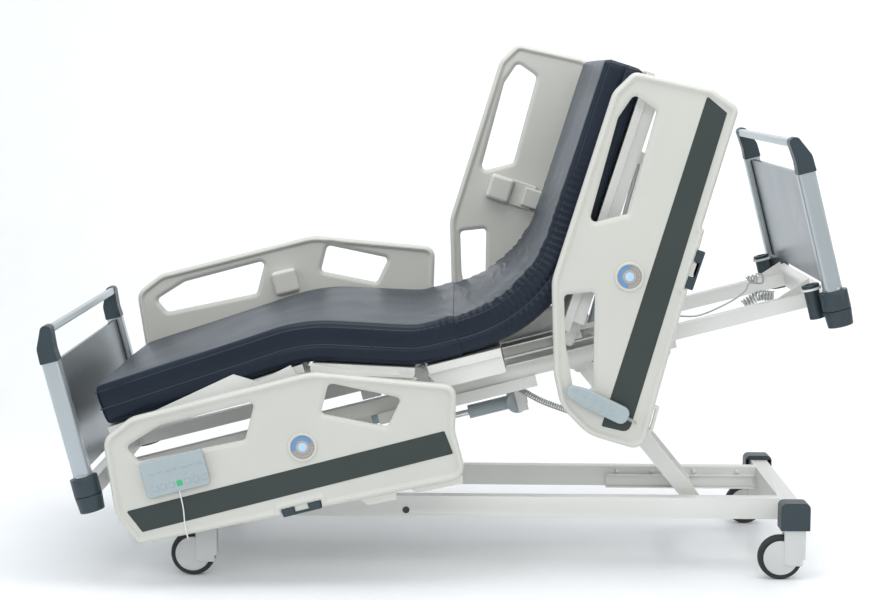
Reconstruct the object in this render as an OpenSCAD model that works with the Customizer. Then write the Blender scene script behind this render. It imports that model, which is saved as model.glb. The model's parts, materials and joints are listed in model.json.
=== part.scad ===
// Adjustable hospital bed: a wheeled base, two lift arms, a tilting upper frame,
// a four-section sleeping surface, lift-off end boards and four swing-down side rails.
// Units are millimetres. +X points to the head end, +Z is up, -Y is the patient's left.
// The origin is on the floor, in the middle of the bed's outline.

/* [Base] */
// Height of the base tubes' underside above the floor
base_z = 146; // [130:1:160]
// Height of the rectangular base tubes
base_tube_h = 60; // [50:1:66]
// Width of the rectangular base tubes
base_tube_w = 40; // [30:1:42]
// Distance from the bed's middle to the outer face of a base side tube
base_half_w = 235.5; // [225:0.5:245]
// Radius of a caster wheel
wheel_r = 62.5; // [50:0.5:64]
// Width of a caster wheel
wheel_w = 30; // [24:1:34]
// Distance a wheel trails behind its swivel axis
caster_trail = 37; // [30:1:40]
// Distance from the bed's middle to a caster's swivel axis
caster_y = 333; // [320:1:345]

/* [Lift] */
// Length of the foot-end lift arms between their pivots
foot_arm_len = 346; // [344:1:348]
// Angle of the foot-end lift arms above level
foot_arm_angle = 36.6; // [36:0.1:37]
// Length of the head-end lift arms between pivot and roller
head_arm_len = 567; // [555:1:580]
// Slope of the upper frame, head end up
frame_tilt = 14.5; // [12:0.1:15]

/* [Sleeping surface] */
// Angle of the backrest above the upper frame
back_angle = 58; // [50:0.5:60]
// Angle of the thigh section above the upper frame
thigh_angle = 17; // [12:0.5:20]
// Slope of the calf section along the upper frame
calf_angle = 4.1; // [2:0.1:6]
// Mattress thickness
mattress_t = 116; // [100:1:130]
// Mattress width
mattress_w = 882; // [860:1:890]

/* [Side rails] */
// Length of a rail's swing arm between its two pivots
rail_arm_len = 146; // [140:1:150]
// Thickness of a rail moulding
rail_t = 32; // [28:1:34]
// Distance from the bed's middle to a rail's outer face
rail_outer_y = 510; // [508:1:520]

/* [Mounts] */
// Radius of the infusion-pole sockets at the head end
pole_bore_r = 13; // [10:0.5:15]
// Depth of the infusion-pole sockets
pole_bore_depth = 90; // [60:1:95]

/* [Hidden] */
$fn = 48;
gap = 0.05;                      // running clearance of every pivot
wall = 3;                        // wall of the rectangular tubes
bore_over = 1;                   // overshoot of every cut

head_stem_x = 969;
foot_stem_x = -674;
beam_w = 50;
beam_half_y = 318;
stem_r = 11;
axle_r = 5;
hood_l = 82;
hood_w = 64;
hood_z = 142;
hood_h = 78;
hood_t = 3;

foot_pivot = [-229, 172];
roller_z = 165;
foot_lift_u = 204;               // lift pivots, measured along the upper frame
head_lift_u = 1104;
foot_top = foot_pivot + foot_arm_len * [-cos(foot_arm_angle), sin(foot_arm_angle)];
frame_datum = foot_top - foot_lift_u * [cos(frame_tilt), sin(frame_tilt)];
head_top = frame_datum + head_lift_u * [cos(frame_tilt), sin(frame_tilt)];
head_arm_angle = asin((head_top[1] - roller_z) / head_arm_len);
arm_y0 = 140;
arm_y1 = 165;
arm_h = 45;
far_eye_r = 19;
shaft_r = 12;
arm_play = 1.8;                  // the frame lifts on a straight line and the arm tops on an arc
lever_len = 62;
lug_y = 215;

channel_x0 = 483;
channel_x1 = 936;
channel_y = 178;
channel_bolts_x = [517, 625, 753, 885];
plug_x = -118;

tube_y0 = 230;                   // upper frame side tubes
tube_y1 = 270;
tube_v0 = -10;
tube_v1 = 30;
foot_end_u = -282;               // board posts and corner bumpers
head_end_u = 1805;
corner_y = 470;
bumper_r = 38;
bumper_v0 = -46;
bumper_v1 = 50;
spigot_r = 15;
post_v1 = 376;                   // top of the end boards' posts
handle_v = 462;                  // height of the end boards' handle bars

hinge_v = 77;                    // all section hinges lie at this height in the upper frame
pin_r = 8;                       // hinge pins and the back actuator's clevis pin
back_u = 1089;
thigh_u = 672;
thigh_len = 305;
calf_len = 570;
back_len = 760;
plate_q0 = 11;                   // section plates, measured up from the hinge line
plate_q1 = 34;
mattress_q = 37;
cheek_y = 443;
cheek_t = 5;
mattress_half = mattress_w / 2;
mattress_q1 = mattress_q + mattress_t;
hip_cut = mattress_t * tan(35);  // how far the mattress opens at the hip bend

knee_v = -114;                   // axis of the knee actuator
knee_pin_r = 6;                  // pin between thigh and calf sections
back_clevis = [1164, 11];        // lower pin of the back actuator, in the upper frame
back_act_angle = 61;             // back actuator, above the upper frame
back_act_len = 544;
lift_rod_r = 9;                  // rods of the lift and knee actuators
back_rod_r = 11;

foot_dial = [322, -10];          // rail inclinometer centres, rails lowered
head_dial = [228, -87.5];
rail_pivot_v = -130;             // rail pivot, measured from the rail's dial
rail_raise = 2 * rail_arm_len;
rail_inner_y = rail_outer_y - rail_t;
hinge_y = 463;                   // swing-arm axis
foot_latch_u = -45;
head_latch_u = 70;
foot_latch_v = -176;             // lowest point of each release handle
head_latch_v = -172;
latch_leg_top = 24;              // top of a release handle's legs, above its lowest point
rail_pin_r = 7;
outline_steps = 10;              // straight pieces in each rounded corner of a rail
device_gap = 0.7;                // hand control and staff panel stand off the rail's face
handset_at = [-348, -23];        // middle of the hand control, measured from the rail's dial
handset_turn = 82;

warm_white = [0.90, 0.90, 0.87];
steel_white = [0.88, 0.88, 0.86];
slate = [0.24, 0.31, 0.37];
dark_grey = [0.22, 0.26, 0.26];
navy = [0.12, 0.17, 0.24];
silver = [0.72, 0.74, 0.76];
device_grey = [0.70, 0.74, 0.76];

// ---------- shared shapes ----------

// Unit vector along v.
function unit(v) = v / norm(v);

// Points of the arc that rounds corner b of the path a-b-c with radius r.
function corner_arc(a, b, c, r, steps) =
    let (to_a = unit(a - b),
         to_c = unit(c - b),
         half = acos(to_a * to_c) / 2,
         centre = b + unit(to_a + to_c) * r / sin(half),
         first = b + to_a * r / tan(half) - centre,
         last = b + to_c * r / tan(half) - centre,
         start = atan2(first[1], first[0]),
         sweep = (atan2(last[1], last[0]) - start + 540) % 360 - 180)
    [for (i = [0:steps]) centre + r * [cos(start + sweep * i / steps), sin(start + sweep * i / steps)]];

// Closed outline through [x, y, corner radius] entries.
function rounded(corners, steps = 5) =
    let (n = len(corners))
    [for (i = [0:n - 1])
        let (a = corners[(i + n - 1) % n], b = corners[i], c = corners[(i + 1) % n])
        each corner_arc([a[0], a[1]], [b[0], b[1]], [c[0], c[1]], b[2], steps)];

// Box between two corners.
module block(low, high) {
    translate(low) cube(high - low);
}

// Extrudes an X-Z outline from y0 to y1.
module slab(outline, y0, y1) {
    translate([0, y1, 0]) rotate([90, 0, 0]) linear_extrude(y1 - y0) polygon(outline);
}

// Cylinder along Y from y0 to y1, centred on [x, z].
module rod_y(x, z, r, y0, y1) {
    translate([x, y1, z]) rotate([90, 0, 0]) cylinder(r = r, h = y1 - y0);
}

// Cylinder along X from x0 to x1.
module rod_x(x0, x1, y, z, r) {
    translate([x0, y, z]) rotate([0, 90, 0]) cylinder(r = r, h = x1 - x0);
}

// Children on both sides of the bed.
module both_sides() {
    children();
    mirror([0, 1, 0]) children();
}

// Bar with round eyes, from the origin to [len, 0] in X-Z, between y0 and y1; the far eye is slimmer.
module eye_bar(len, h, y0, y1) {
    block([0, y0, -h / 2], [len - 10, y1, h / 2]);
    rod_y(0, 0, h / 2, y0, y1);
    rod_y(len, 0, far_eye_r, y0, y1);
}

// ---------- coordinate frames ----------

module in_frame() {
    translate([frame_datum[0], 0, frame_datum[1]]) rotate([0, -frame_tilt, 0]) children();
}

module in_back() {
    in_frame() translate([back_u, 0, hinge_v]) rotate([0, -back_angle, 0]) children();
}

module in_thigh() {
    in_frame() translate([thigh_u, 0, hinge_v]) rotate([0, thigh_angle, 0]) children();
}

module in_calf() {
    in_thigh() translate([-thigh_len, 0, 0]) rotate([0, -thigh_angle - calf_angle, 0]) children();
}

// Rail frames: origin at the rail's dial, on the bed's middle plane.
module in_foot_rail(raised) {
    in_frame() translate([foot_dial[0], 0, foot_dial[1] + (raised ? rail_raise : 0)]) children();
}

module in_head_rail(raised) {
    in_back() translate([head_dial[0], 0, head_dial[1] + (raised ? rail_raise : 0)]) children();
}

// ---------- base ----------

module side_tube_base() {
    difference() {
        block([foot_stem_x + beam_w / 2, base_half_w - base_tube_w, base_z],
              [head_stem_x - beam_w / 2, base_half_w, base_z + base_tube_h]);
        block([foot_stem_x, base_half_w - base_tube_w + wall, base_z + wall],
              [head_stem_x - beam_w / 2 - wall, base_half_w - wall, base_z + base_tube_h - wall]);
        rod_y(plug_x, roller_z, 10, base_half_w - wall - bore_over, base_half_w + bore_over);
    }
}

module end_beam(stem_x) {
    difference() {
        block([stem_x - beam_w / 2, -beam_half_y - 30, base_z],
              [stem_x + beam_w / 2, beam_half_y + 30, base_z + base_tube_h]);
        block([stem_x - beam_w / 2 + wall, -beam_half_y + 20, base_z + wall],
              [stem_x + beam_w / 2 - wall, beam_half_y - 20, base_z + base_tube_h - wall]);
        for (side = [-1, 1])
            translate([stem_x, side * caster_y, base_z - bore_over])
                cylinder(r = stem_r + gap, h = 45 + bore_over);
    }
}

// Tent-shaped lug that carries the foot lift arms' lower pivot.
module pivot_lug() {
    inner = base_half_w - base_tube_w;
    slab([[foot_pivot[0] - 46, base_z + 8], [foot_pivot[0] + 46, base_z + 8],
          [foot_pivot[0] + 42, base_z + 46], [foot_pivot[0] + 10, base_z + 62],
          [foot_pivot[0] - 10, base_z + 62], [foot_pivot[0] - 42, base_z + 46]], inner - 14, inner + 1);
}

module base_frame() color(steel_white) {
    both_sides() side_tube_base();
    end_beam(head_stem_x);
    end_beam(foot_stem_x);
    both_sides() pivot_lug();
    rod_y(foot_pivot[0], foot_pivot[1], 10, -185, 185);
    block([-440, -base_half_w + base_tube_w - 1, base_z], [-400, base_half_w - base_tube_w + 1, base_z + 34]);
}

module roller_channel() {
    outer = base_half_w - base_tube_w;
    difference() {
        block([channel_x0, channel_y, 142], [channel_x1, outer, 184]);
        block([channel_x0 - 1, channel_y - 1, 146], [channel_x1 + 1, outer - 4, 180]);
    }
    for (x = channel_bolts_x)
        intersection() {
            translate([x, outer, 192]) sphere(r = 8);
            block([x - 9, outer - 9, 184.2], [x + 9, outer, 201]);
        }
}

module roller_channels() color(steel_white) {
    both_sides() roller_channel();
}

// Hood over one base corner, open towards the bed's middle.
module corner_hood(stem_x) {
    inner_y = caster_y - 30;
    outer_y = caster_y + 29;
    profile = rounded([[-hood_l / 2, hood_z, 3], [-hood_l / 2, hood_z + hood_h, 16],
        [hood_l / 2, hood_z + hood_h, 16], [hood_l / 2, hood_z, 3]]);
    cavity = [[-hood_l / 2 + hood_t, hood_z - 1], [-hood_l / 2 + hood_t, hood_z + hood_h - hood_t - 10],
        [hood_l / 2 - hood_t, hood_z + hood_h - hood_t - 10], [hood_l / 2 - hood_t, hood_z - 1]];
    translate([stem_x, 0, 0]) difference() {
        slab(profile, inner_y, outer_y);
        slab(cavity, inner_y - 1, outer_y - 8);
        translate([0, caster_y, hood_z - 1]) cylinder(r = 20, h = 20);
    }
}

module base_covers() color(slate) {
    both_sides() corner_hood(head_stem_x);
    both_sides() corner_hood(foot_stem_x);
    both_sides() rod_y(plug_x, roller_z, 9.9, base_half_w - 2, base_half_w + 1.5);
}

// ---------- casters ----------

module caster_fork(stem_x, side) {
    axle_z = wheel_r;
    plate_y = wheel_w / 2 + 5;
    cheek = rounded([[-caster_trail - 17, axle_z - 12, 12], [-caster_trail + 15, axle_z - 16, 12],
        [16, 112, 30], [24, 132, 6], [-26, 132, 20]]);
    color(steel_white) translate([stem_x, side * caster_y, 0]) {
        translate([0, 0, 136]) cylinder(r = stem_r, h = 52);
        translate([0, 0, 128]) cylinder(r = 18, h = 10);
        for (s = [-1, 1])
            slab(cheek, s * plate_y - 3, s * plate_y + 3);
        block([-18, -plate_y - 3, 128], [20, plate_y + 3, 132]);
        rod_y(-caster_trail, axle_z, axle_r, -plate_y - 3, plate_y + 3);
    }
}

module caster_wheel(stem_x, side) {
    half_w = wheel_w / 2;
    disc_r = wheel_r - 16;
    tread_r = wheel_r - 13;
    section = rounded([[axle_r + 1, -half_w, 1], [disc_r, -half_w, 1], [tread_r, -half_w + 4, 1],
        [wheel_r, -half_w + 3, 9], [wheel_r, half_w - 3, 9], [tread_r, half_w - 4, 1],
        [disc_r, half_w, 1], [axle_r + 1, half_w, 1]], 3);
    color(dark_grey) translate([stem_x - caster_trail, side * caster_y, wheel_r])
        rotate([90, 0, 0]) rotate_extrude() polygon(section);
}

module caster_fork_head_l() caster_fork(head_stem_x, -1);
module caster_fork_head_r() caster_fork(head_stem_x, 1);
module caster_fork_foot_l() caster_fork(foot_stem_x, -1);
module caster_fork_foot_r() caster_fork(foot_stem_x, 1);
module caster_wheel_head_l() caster_wheel(head_stem_x, -1);
module caster_wheel_head_r() caster_wheel(head_stem_x, 1);
module caster_wheel_foot_l() caster_wheel(foot_stem_x, -1);
module caster_wheel_foot_r() caster_wheel(foot_stem_x, 1);

// ---------- lift ----------

// Two arms on a sleeve that turns on the shaft; the lever takes the lift actuator.
module arm_pair(len, play = 0) {
    difference() {
        union() {
            both_sides() eye_bar(len, arm_h, arm_y0, arm_y1);
            rod_y(0, 0, 18, -arm_y0 - 1, arm_y0 + 1);
            rod_y(len * 0.86, 0, 12, -arm_y0 - 1, arm_y0 + 1);
            children();
        }
        rod_y(0, 0, shaft_r + gap + play, -arm_y1 - 1, arm_y1 + 1);
    }
}

// Lever that hangs square to the upper frame at rest.
module lift_lever(arm_turn) {
    rotate([0, -arm_turn, 0]) translate([0, 0, -lever_len]) {
        for (s = [-1, 1]) {
            block([-12, s * 16 - 4, 0], [12, s * 16 + 4, lever_len]);
            rod_y(0, 0, 12, s * 16 - 4, s * 16 + 4);
        }
    }
}

module foot_lift_arms() color(steel_white) {
    translate([foot_top[0], 0, foot_top[1]]) rotate([0, foot_arm_angle, 0]) difference() {
        arm_pair(foot_arm_len, arm_play) lift_lever(foot_arm_angle + frame_tilt);
        rod_y(foot_arm_len, 0, 10 + gap, -arm_y1 - 1, arm_y1 + 1);
    }
}

module head_lift_arms() color(steel_white) {
    translate([head_top[0], 0, head_top[1]]) rotate([0, head_arm_angle, 0]) {
        arm_pair(head_arm_len) lift_lever(head_arm_angle + frame_tilt);
        both_sides() rod_y(head_arm_len, 0, 6, arm_y1 - 1, channel_y - 1);
    }
}

module lift_rollers() color(dark_grey) {
    translate([head_top[0], 0, head_top[1]]) rotate([0, head_arm_angle, 0]) both_sides() difference() {
        rod_y(head_arm_len, 0, 15, arm_y1 + 0.5, channel_y - 0.5);
        rod_y(head_arm_len, 0, 6.02, arm_y1, channel_y);
    }
}

module foot_lift_shaft() color(silver) {
    translate([foot_top[0], 0, foot_top[1]]) rod_y(0, 0, shaft_r, -tube_y0 + 0.5, tube_y0 - 0.5);
}

module head_lift_shaft() color(silver) {
    translate([head_top[0], 0, head_top[1]]) rod_y(0, 0, shaft_r, -tube_y0 + 0.5, tube_y0 - 0.5);
}

// ---------- upper frame ----------

module cross_bar(u0, u1, v0, v1) {
    block([u0, -tube_y0 - 1, v0], [u1, tube_y0 + 1, v1]);
}

// Plate on the inner face of the side tubes that carries a lift shaft.
module shaft_lug(u) {
    plate = rounded([[u - 34, -28, 24], [u + 34, -28, 24], [u + 40, 28, 4], [u - 40, 28, 4]]);
    both_sides() difference() {
        slab(plate, lug_y, tube_y0 + 1);
        rod_y(u, 0, shaft_r + gap, lug_y - 1, tube_y0);
    }
}

// Outward-facing channel the backrest carriage slides in.
module backrest_rail() {
    difference() {
        block([905, tube_y1 - 1, 38], [1180, 318, 94]);
        block([904, 280, 64], [1181, 319, 90]);
        block([904, 274, 42], [1181, 319, 60]);
    }
    block([905, tube_y1 - 21, 29], [1180, tube_y1 - 1, 94]);
}

// Beam between two corner bumpers.
module corner_beam(u0, u1) {
    difference() {
        block([u0, -corner_y + 6, tube_v0 - 4], [u1, corner_y - 6, tube_v1]);
        both_sides() translate([(u0 + u1) / 2, corner_y, -60]) cylinder(r = bumper_r + 0.1, h = 140);
    }
}

// Outrigger that carries a foot rail's swing arm.
module rail_outrigger() {
    u = foot_dial[0] + foot_latch_u;
    v = foot_dial[1] + rail_pivot_v + rail_arm_len;
    block([u - 20, tube_y1 - 1, v - 14], [u + 20, hinge_y - 13, v + 14]);
    difference() {
        union() {
            rod_x(u - 20, u + 20, hinge_y, v, 13);
            block([u - 20, hinge_y - 14, v - 13], [u + 20, hinge_y, v + 13]);
        }
        rod_x(u - 21, u + 21, hinge_y, v, rail_pin_r + gap);
    }
}

// Cheeks and pin of the back actuator's lower clevis, on half bars that pass over the head lift arms.
module back_actuator_clevis() {
    both_sides() slab(rounded([[1148, -12, 10], [1180, -12, 10], [1180, 44, 2], [1148, 44, 2]]), 28, 35);
    both_sides() block([1148, 34, 26], [1180, tube_y0 + 1, 44]);
    both_sides() block([1148, tube_y0 - 12, 0], [1180, tube_y0 + 1, 44]);
    rod_y(back_clevis[0], back_clevis[1], pin_r, -30, 30);
}

// Drainage-bag hook under the side tube.
module bag_hook(u) {
    block([u - 30, 262, -30], [u + 30, 266, 1]);
    slab(rounded([[u - 30, -44, 3], [u + 30, -44, 3], [u + 30, -28, 3], [u - 30, -28, 3]]), 262, 282);
}

// Two plates under a cross bar on drop brackets; they hold the head lift actuator.
module head_actuator_hanger() {
    both_sides() slab(rounded([[1352, -88, 8], [1376, -88, 8], [1384, -21, 3], [1344, -21, 3]]), 28, 34);
    cross_bar(1344, 1384, -38, -20);
    both_sides() block([1344, tube_y0 - 12, -38], [1384, tube_y0 + 1, 20]);
}

// Two upright plates, each y off the middle of the bed.
module hanger_plates(u0, u1, y, v0, v1) {
    for (s = [-1, 1])
        block([u0, s * y - 3, v0], [u1, s * y + 3, v1]);
}

// Ears on the side tubes that carry the thigh section's hinge tube.
module thigh_hinge_ears() {
    both_sides() difference() {
        slab(rounded([[thigh_u - 15, tube_v1 - 1, 1], [thigh_u + 15, tube_v1 - 1, 1],
            [thigh_u + 15, hinge_v + 15, 14], [thigh_u - 15, hinge_v + 15, 14]]), 240, 260);
        rod_y(thigh_u, hinge_v, pin_r + gap, 239, 261);
    }
}

module upper_frame() color(steel_white) in_frame() {
    both_sides() difference() {
        block([foot_end_u + 19, tube_y0, tube_v0], [head_end_u - 19, tube_y1, tube_v1]);
        block([foot_end_u + 40, tube_y0 + wall, tube_v0 + wall],
              [head_end_u - 40, tube_y1 - wall, tube_v1 - wall]);
    }
    corner_beam(foot_end_u - 20, foot_end_u + 20);
    corner_beam(head_end_u - 20, head_end_u + 20);
    shaft_lug(foot_lift_u);
    shaft_lug(head_lift_u);
    both_sides() backrest_rail();
    both_sides() rail_outrigger();
    both_sides() bag_hook(470);
    cross_bar(560, 600, -10, 20);
    cross_bar(860, 900, -10, 20);
    back_actuator_clevis();
    head_actuator_hanger();
    thigh_hinge_ears();
    hanger_plates(566, 600, 31, -88, -8);      // foot lift actuator
    hanger_plates(905, 935, 54, -140, 20);     // knee actuator
    block([890, -57, 8], [935, 57, 20]);
    // deeper channel under the side tubes near the seat
    both_sides() block([520, tube_y0 + 2, -41], [977, tube_y1 + 6, tube_v0 + 1]);
    // gussets of the head end
    both_sides() slab([[head_end_u - 20, tube_v1 - 1], [head_end_u - 20, tube_v1 + 34],
        [head_end_u - 120, tube_v1 - 1]], tube_y0 + 4, tube_y0 + 10);
}

module seat_panel() color(steel_white) in_frame() {
    u0 = thigh_u + 26;
    u1 = 903;
    block([u0, -mattress_half + 8, hinge_v + plate_q0], [u1, mattress_half - 8, hinge_v + plate_q1]);
    both_sides() slab(rounded([[u0 + 20, 42, 6], [u1, 42, 6], [u1, hinge_v + plate_q0 + 1, 2],
        [u0 - 4, hinge_v + plate_q0 + 1, 2]]), 398, 428);
    both_sides() block([u0 + 40, 240, tube_v1], [u0 + 70, 268, hinge_v + plate_q0 + 1]);
    both_sides() block([u1 - 50, 240, tube_v1], [u1 - 20, 268, hinge_v + plate_q0 + 1]);
}

module corner_bumper(u, side) {
    translate([u, side * corner_y, bumper_v0]) difference() {
        union() {
            cylinder(r1 = bumper_r - 4, r2 = bumper_r, h = 44);
            translate([0, 0, 46]) cylinder(r = bumper_r, h = bumper_v1 - bumper_v0 - 46);
            cylinder(r = bumper_r - 4.5, h = 80);
        }
        translate([0, 0, 12]) cylinder(r = spigot_r + gap, h = 100);
    }
}

module corner_bumpers() color(slate) in_frame() {
    for (u = [foot_end_u, head_end_u])
        for (side = [-1, 1])
            corner_bumper(u, side);
}

// Sleeve for an infusion pole, open at the top.
module pole_socket() {
    u = head_end_u - 48;
    v1 = 74;
    difference() {
        union() {
            translate([u, 420, v1 - pole_bore_depth - 4]) cylinder(r = 21, h = pole_bore_depth - 4);
            translate([u, 420, v1 - 8]) cylinder(r = 24, h = 8);
            block([u + 10, 410, tube_v0], [head_end_u - 20.1, 430, tube_v1 - 5]);
        }
        translate([u, 420, v1 - pole_bore_depth]) cylinder(r = pole_bore_r, h = pole_bore_depth + 1);
    }
}

module pole_sockets() color(slate) in_frame() {
    both_sides() pole_socket();
}

// ---------- actuators ----------

// Linear actuator housing from u0 (gearbox end) towards u1, bored for its rod.
module actuator_tube(u0, u1, v, r, rod_r) {
    difference() {
        rod_x(min(u0, u1), max(u0, u1), 0, v, r);
        rod_x(min(u0, u1) + (u1 > u0 ? 24 : -1), max(u0, u1) + (u1 > u0 ? 1 : -24), 0, v, rod_r + gap);
    }
}

module lift_actuators() color(device_grey) in_frame() {
    actuator_tube(1350, 1190, -lever_len, 20, lift_rod_r);
    block([1349, -27.9, -84], [1378, 27.9, -40]);
    actuator_tube(570, 290, -lever_len, 20, lift_rod_r);
    block([569, -27.9, -84], [598, 27.9, -40]);
}

module lift_rod(u0, u1) {
    color(silver) in_frame() {
        rod_x(min(u0, u1), max(u0, u1), 0, -lever_len, lift_rod_r);
        rod_y(u0, -lever_len, 11, -11, 11);
    }
}

module head_lift_rod() lift_rod(head_lift_u, 1265);
module foot_lift_rod() lift_rod(foot_lift_u, 400);

module knee_actuator() color(device_grey) in_frame() {
    actuator_tube(905, 760, knee_v, 20, lift_rod_r);
    rod_y(906, knee_v, 31, -45, 45);
    block([880, -24, knee_v - 22], [900, 24, knee_v + 22]);
    rod_y(920, knee_v, 10, -50.9, 50.9);
}

module knee_rod() color(silver) in_frame() {
    rod_x(thigh_u, 815, 0, knee_v, lift_rod_r);
    rod_y(thigh_u, knee_v, 12, -11, 11);
}

module in_back_actuator() {
    in_frame() translate([back_clevis[0], 0, back_clevis[1]]) rotate([0, -back_act_angle, 0]) children();
}

module back_actuator() color(device_grey) in_back_actuator() {
    difference() {
        union() {
            rod_y(0, 0, 17, -26, 26);
            block([4, -26, -17], [40, 26, 17]);
            rod_x(34, 308, 0, 0, 25);
            slab(rounded([[34, -34, 8], [150, -34, 8], [150, 20, 8], [34, 20, 8]]), -27, 27);
        }
        rod_y(0, 0, pin_r + gap, -27, 27);
        rod_x(64, 309, 0, 0, back_rod_r + gap);
    }
}

module back_rod() color(silver) in_back_actuator() {
    rod_x(back_act_len - 258, back_act_len - 8, 0, 0, back_rod_r);
    rod_y(back_act_len, 0, 13, -12, 12);
}

// ---------- sleeping surface ----------

// Sliders that run in the backrest channels and carry the backrest's hinge pins.
module backrest_carriage() color(steel_white) in_frame() {
    slider = rounded([[back_u - 40, 66, 4], [back_u + 40, 66, 4], [back_u + 40, 88, 4], [back_u - 40, 88, 4]]);
    both_sides() difference() {
        slab(slider, 284, 316);
        rod_y(back_u, hinge_v, pin_r + gap, 283, 317);
    }
}

// Frame of the backrest: hinge ears, long tubes, cross tubes and rail carriers.
module back_frame() color(steel_white) in_back() {
    both_sides() {
        block([30, 324, -22], [back_len - 30, 350, 10.9]);
        slab(rounded([[-18, -18, 10], [60, -22, 4], [60, 8, 4], [20, 10, 4], [-18, 18, 10]]), 324, 332);
        rod_y(0, 0, pin_r, 284, 325);
        // side skirt behind the mattress edge
        block([60, 425, -20], [back_len - 6, 429, 10.9]);
        block([70, 349, -20], [110, 426, -4]);
        block([back_len - 60, 349, -20], [back_len - 20, 426, -4]);
        head_rail_carrier();
    }
    block([228, -325, -22], [258, 325, -2]);
    block([600, -325, -22], [630, 325, -2]);
    // actuator bracket
    block([500, -325, -22], [540, 325, -2]);
    both_sides() slab(rounded([[512, -21, 2], [514, -88, 10], [544, -88, 12], [560, -21, 2]]), 14, 20);
}

// Drop bracket that carries a head rail's swing arm.
module head_rail_carrier() {
    s = head_dial[0] + head_latch_u;
    q = head_dial[1] + rail_pivot_v + rail_arm_len;
    block([s - 20, 349, -20], [s + 20, 426, -4]);
    slab([[s - 20, q - 12], [s + 20, q - 12], [s + 20, -6], [s - 20, -6]], 426, 434);
    difference() {
        union() {
            rod_x(s - 20, s + 20, hinge_y, q, 13);
            block([s - 20, 433, q - 12], [s + 20, hinge_y, q + 12]);
        }
        rod_x(s - 21, s + 21, hinge_y, q, rail_pin_r + gap);
    }
}

module section_plate(x0, x1) {
    block([x0, -mattress_half + 8, plate_q0], [x1, mattress_half - 8, plate_q1]);
}

// The underside has a recess on each side for the backrest channels to lie in when the back is flat.
module back_panel() color(dark_grey) in_back() difference() {
    section_plate(30, back_len);
    both_sides() block([29, 244, plate_q0 - 1], [228, 323, plate_q0 + 8]);
}

module thigh_panel() color(steel_white) in_thigh() {
    foot_x = -thigh_len;
    side_box = [[foot_x + 10, -18], [-24, -18], [-10, 6], [-24, plate_q0 + 1], [foot_x + 10, plate_q0 + 1]];
    cheek = [[foot_x + 6, 8], [-20, 8], [-20, 16], [foot_x + 112, 18], [foot_x + 2, 36]];
    hinge_ear = rounded([[-60, plate_q0 + 1, 2], [-60, -12, 4], [0, -16, 14], [14, 0, 12], [0, 14, 8]]);
    knee_ear = rounded([[foot_x - 9, -9, 8], [foot_x + 40, -9, 4],
        [foot_x + 40, plate_q0 + 1, 0.5], [foot_x - 9, 9, 8]]);
    section_plate(foot_x + 8, -18);
    both_sides() {
        slab(side_box, 404, 428);
        slab(cheek, cheek_y, cheek_y + cheek_t);
        block([foot_x + 40, 427, 12], [-60, cheek_y + 1, 16]);
        slab(hinge_ear, 276, 284);
        rod_y(0, 0, pin_r, -1, 276.5);
        slab(knee_ear, 300, 308);
        rod_y(foot_x, 0, knee_pin_r, 307, 321);
    }
    knee_lever();
}

// Two-plate lever that the knee actuator pushes; it hangs square to the upper frame.
module knee_lever() {
    low = knee_v - hinge_v - 12;
    plate = [[-16, low], [16, low], [14, 14], [-60, 40], [-60, 26], [-16, 14]];
    rotate([0, -thigh_angle, 0])
        for (s = [-1, 1])
            slab(plate, s * 18 - 4, s * 18 + 4);
}

module calf_panel() color(steel_white) in_calf() {
    section_plate(-calf_len, -8);
    knee_ear = rounded([[9, -9, 8], [9, 9, 8], [-40, plate_q0 + 1, 0.5], [-40, -9, 4]]);
    cheek = [[-calf_len + 10, 4], [-27, 4], [-37, 43], [-136, 28], [-193, 68], [-calf_len + 10, 24]];
    both_sides() difference() {
        slab(knee_ear, 310, 320);
        rod_y(0, 0, knee_pin_r + gap, 309, 321);
    }
    both_sides() {
        slab([[-calf_len + 4, -12], [-30, -12], [-20, plate_q0 + 1], [-calf_len + 4, plate_q0 + 1]], 404, 428);
        slab(cheek, cheek_y, cheek_y + cheek_t);
        block([-calf_len + 40, 427, 12], [-60, cheek_y + 1, 16]);
    }
    // slotted stay plate under the section
    difference() {
        block([-300, 180, -26], [-120, 184, plate_q0 + 1]);
        for (x = [-280:32:-140])
            block([x, 179, -12], [x + 16, 185, -2]);
    }
}

module mattress_block(outline) {
    color(navy) slab(outline, -mattress_half, mattress_half);
}

module mattress_back() in_back()
    mattress_block([[66, mattress_q], [back_len, mattress_q], [back_len, mattress_q1],
        [66 + hip_cut + 70, mattress_q1], [66 + 60, mattress_q + 50]]);

module mattress_seat() in_frame()
    mattress_block([[thigh_u + 14, hinge_v + mattress_q], [back_u - 128, hinge_v + mattress_q],
        [back_u - 128 - 30, hinge_v + mattress_q + 40], [back_u - 240, hinge_v + mattress_q1],
        [thigh_u + 60, hinge_v + mattress_q1]]);

module mattress_thigh() in_thigh()
    mattress_block([[-thigh_len + 3, mattress_q], [-22, mattress_q], [-80, mattress_q1],
        [-thigh_len + 3, mattress_q1]]);

module mattress_calf() in_calf()
    mattress_block([[-calf_len, mattress_q], [-4, mattress_q], [-4, mattress_q1], [-calf_len, mattress_q1]]);

// ---------- end boards ----------

// Outline of the handle bar, grown by over.
function handle_section(over) =
    rounded([[-9 - over, -11 - over, 5], [9 + over, -11 - over, 5],
        [9 + over, 11 + over, 5], [-9 - over, 11 + over, 5]], 3);

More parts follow.
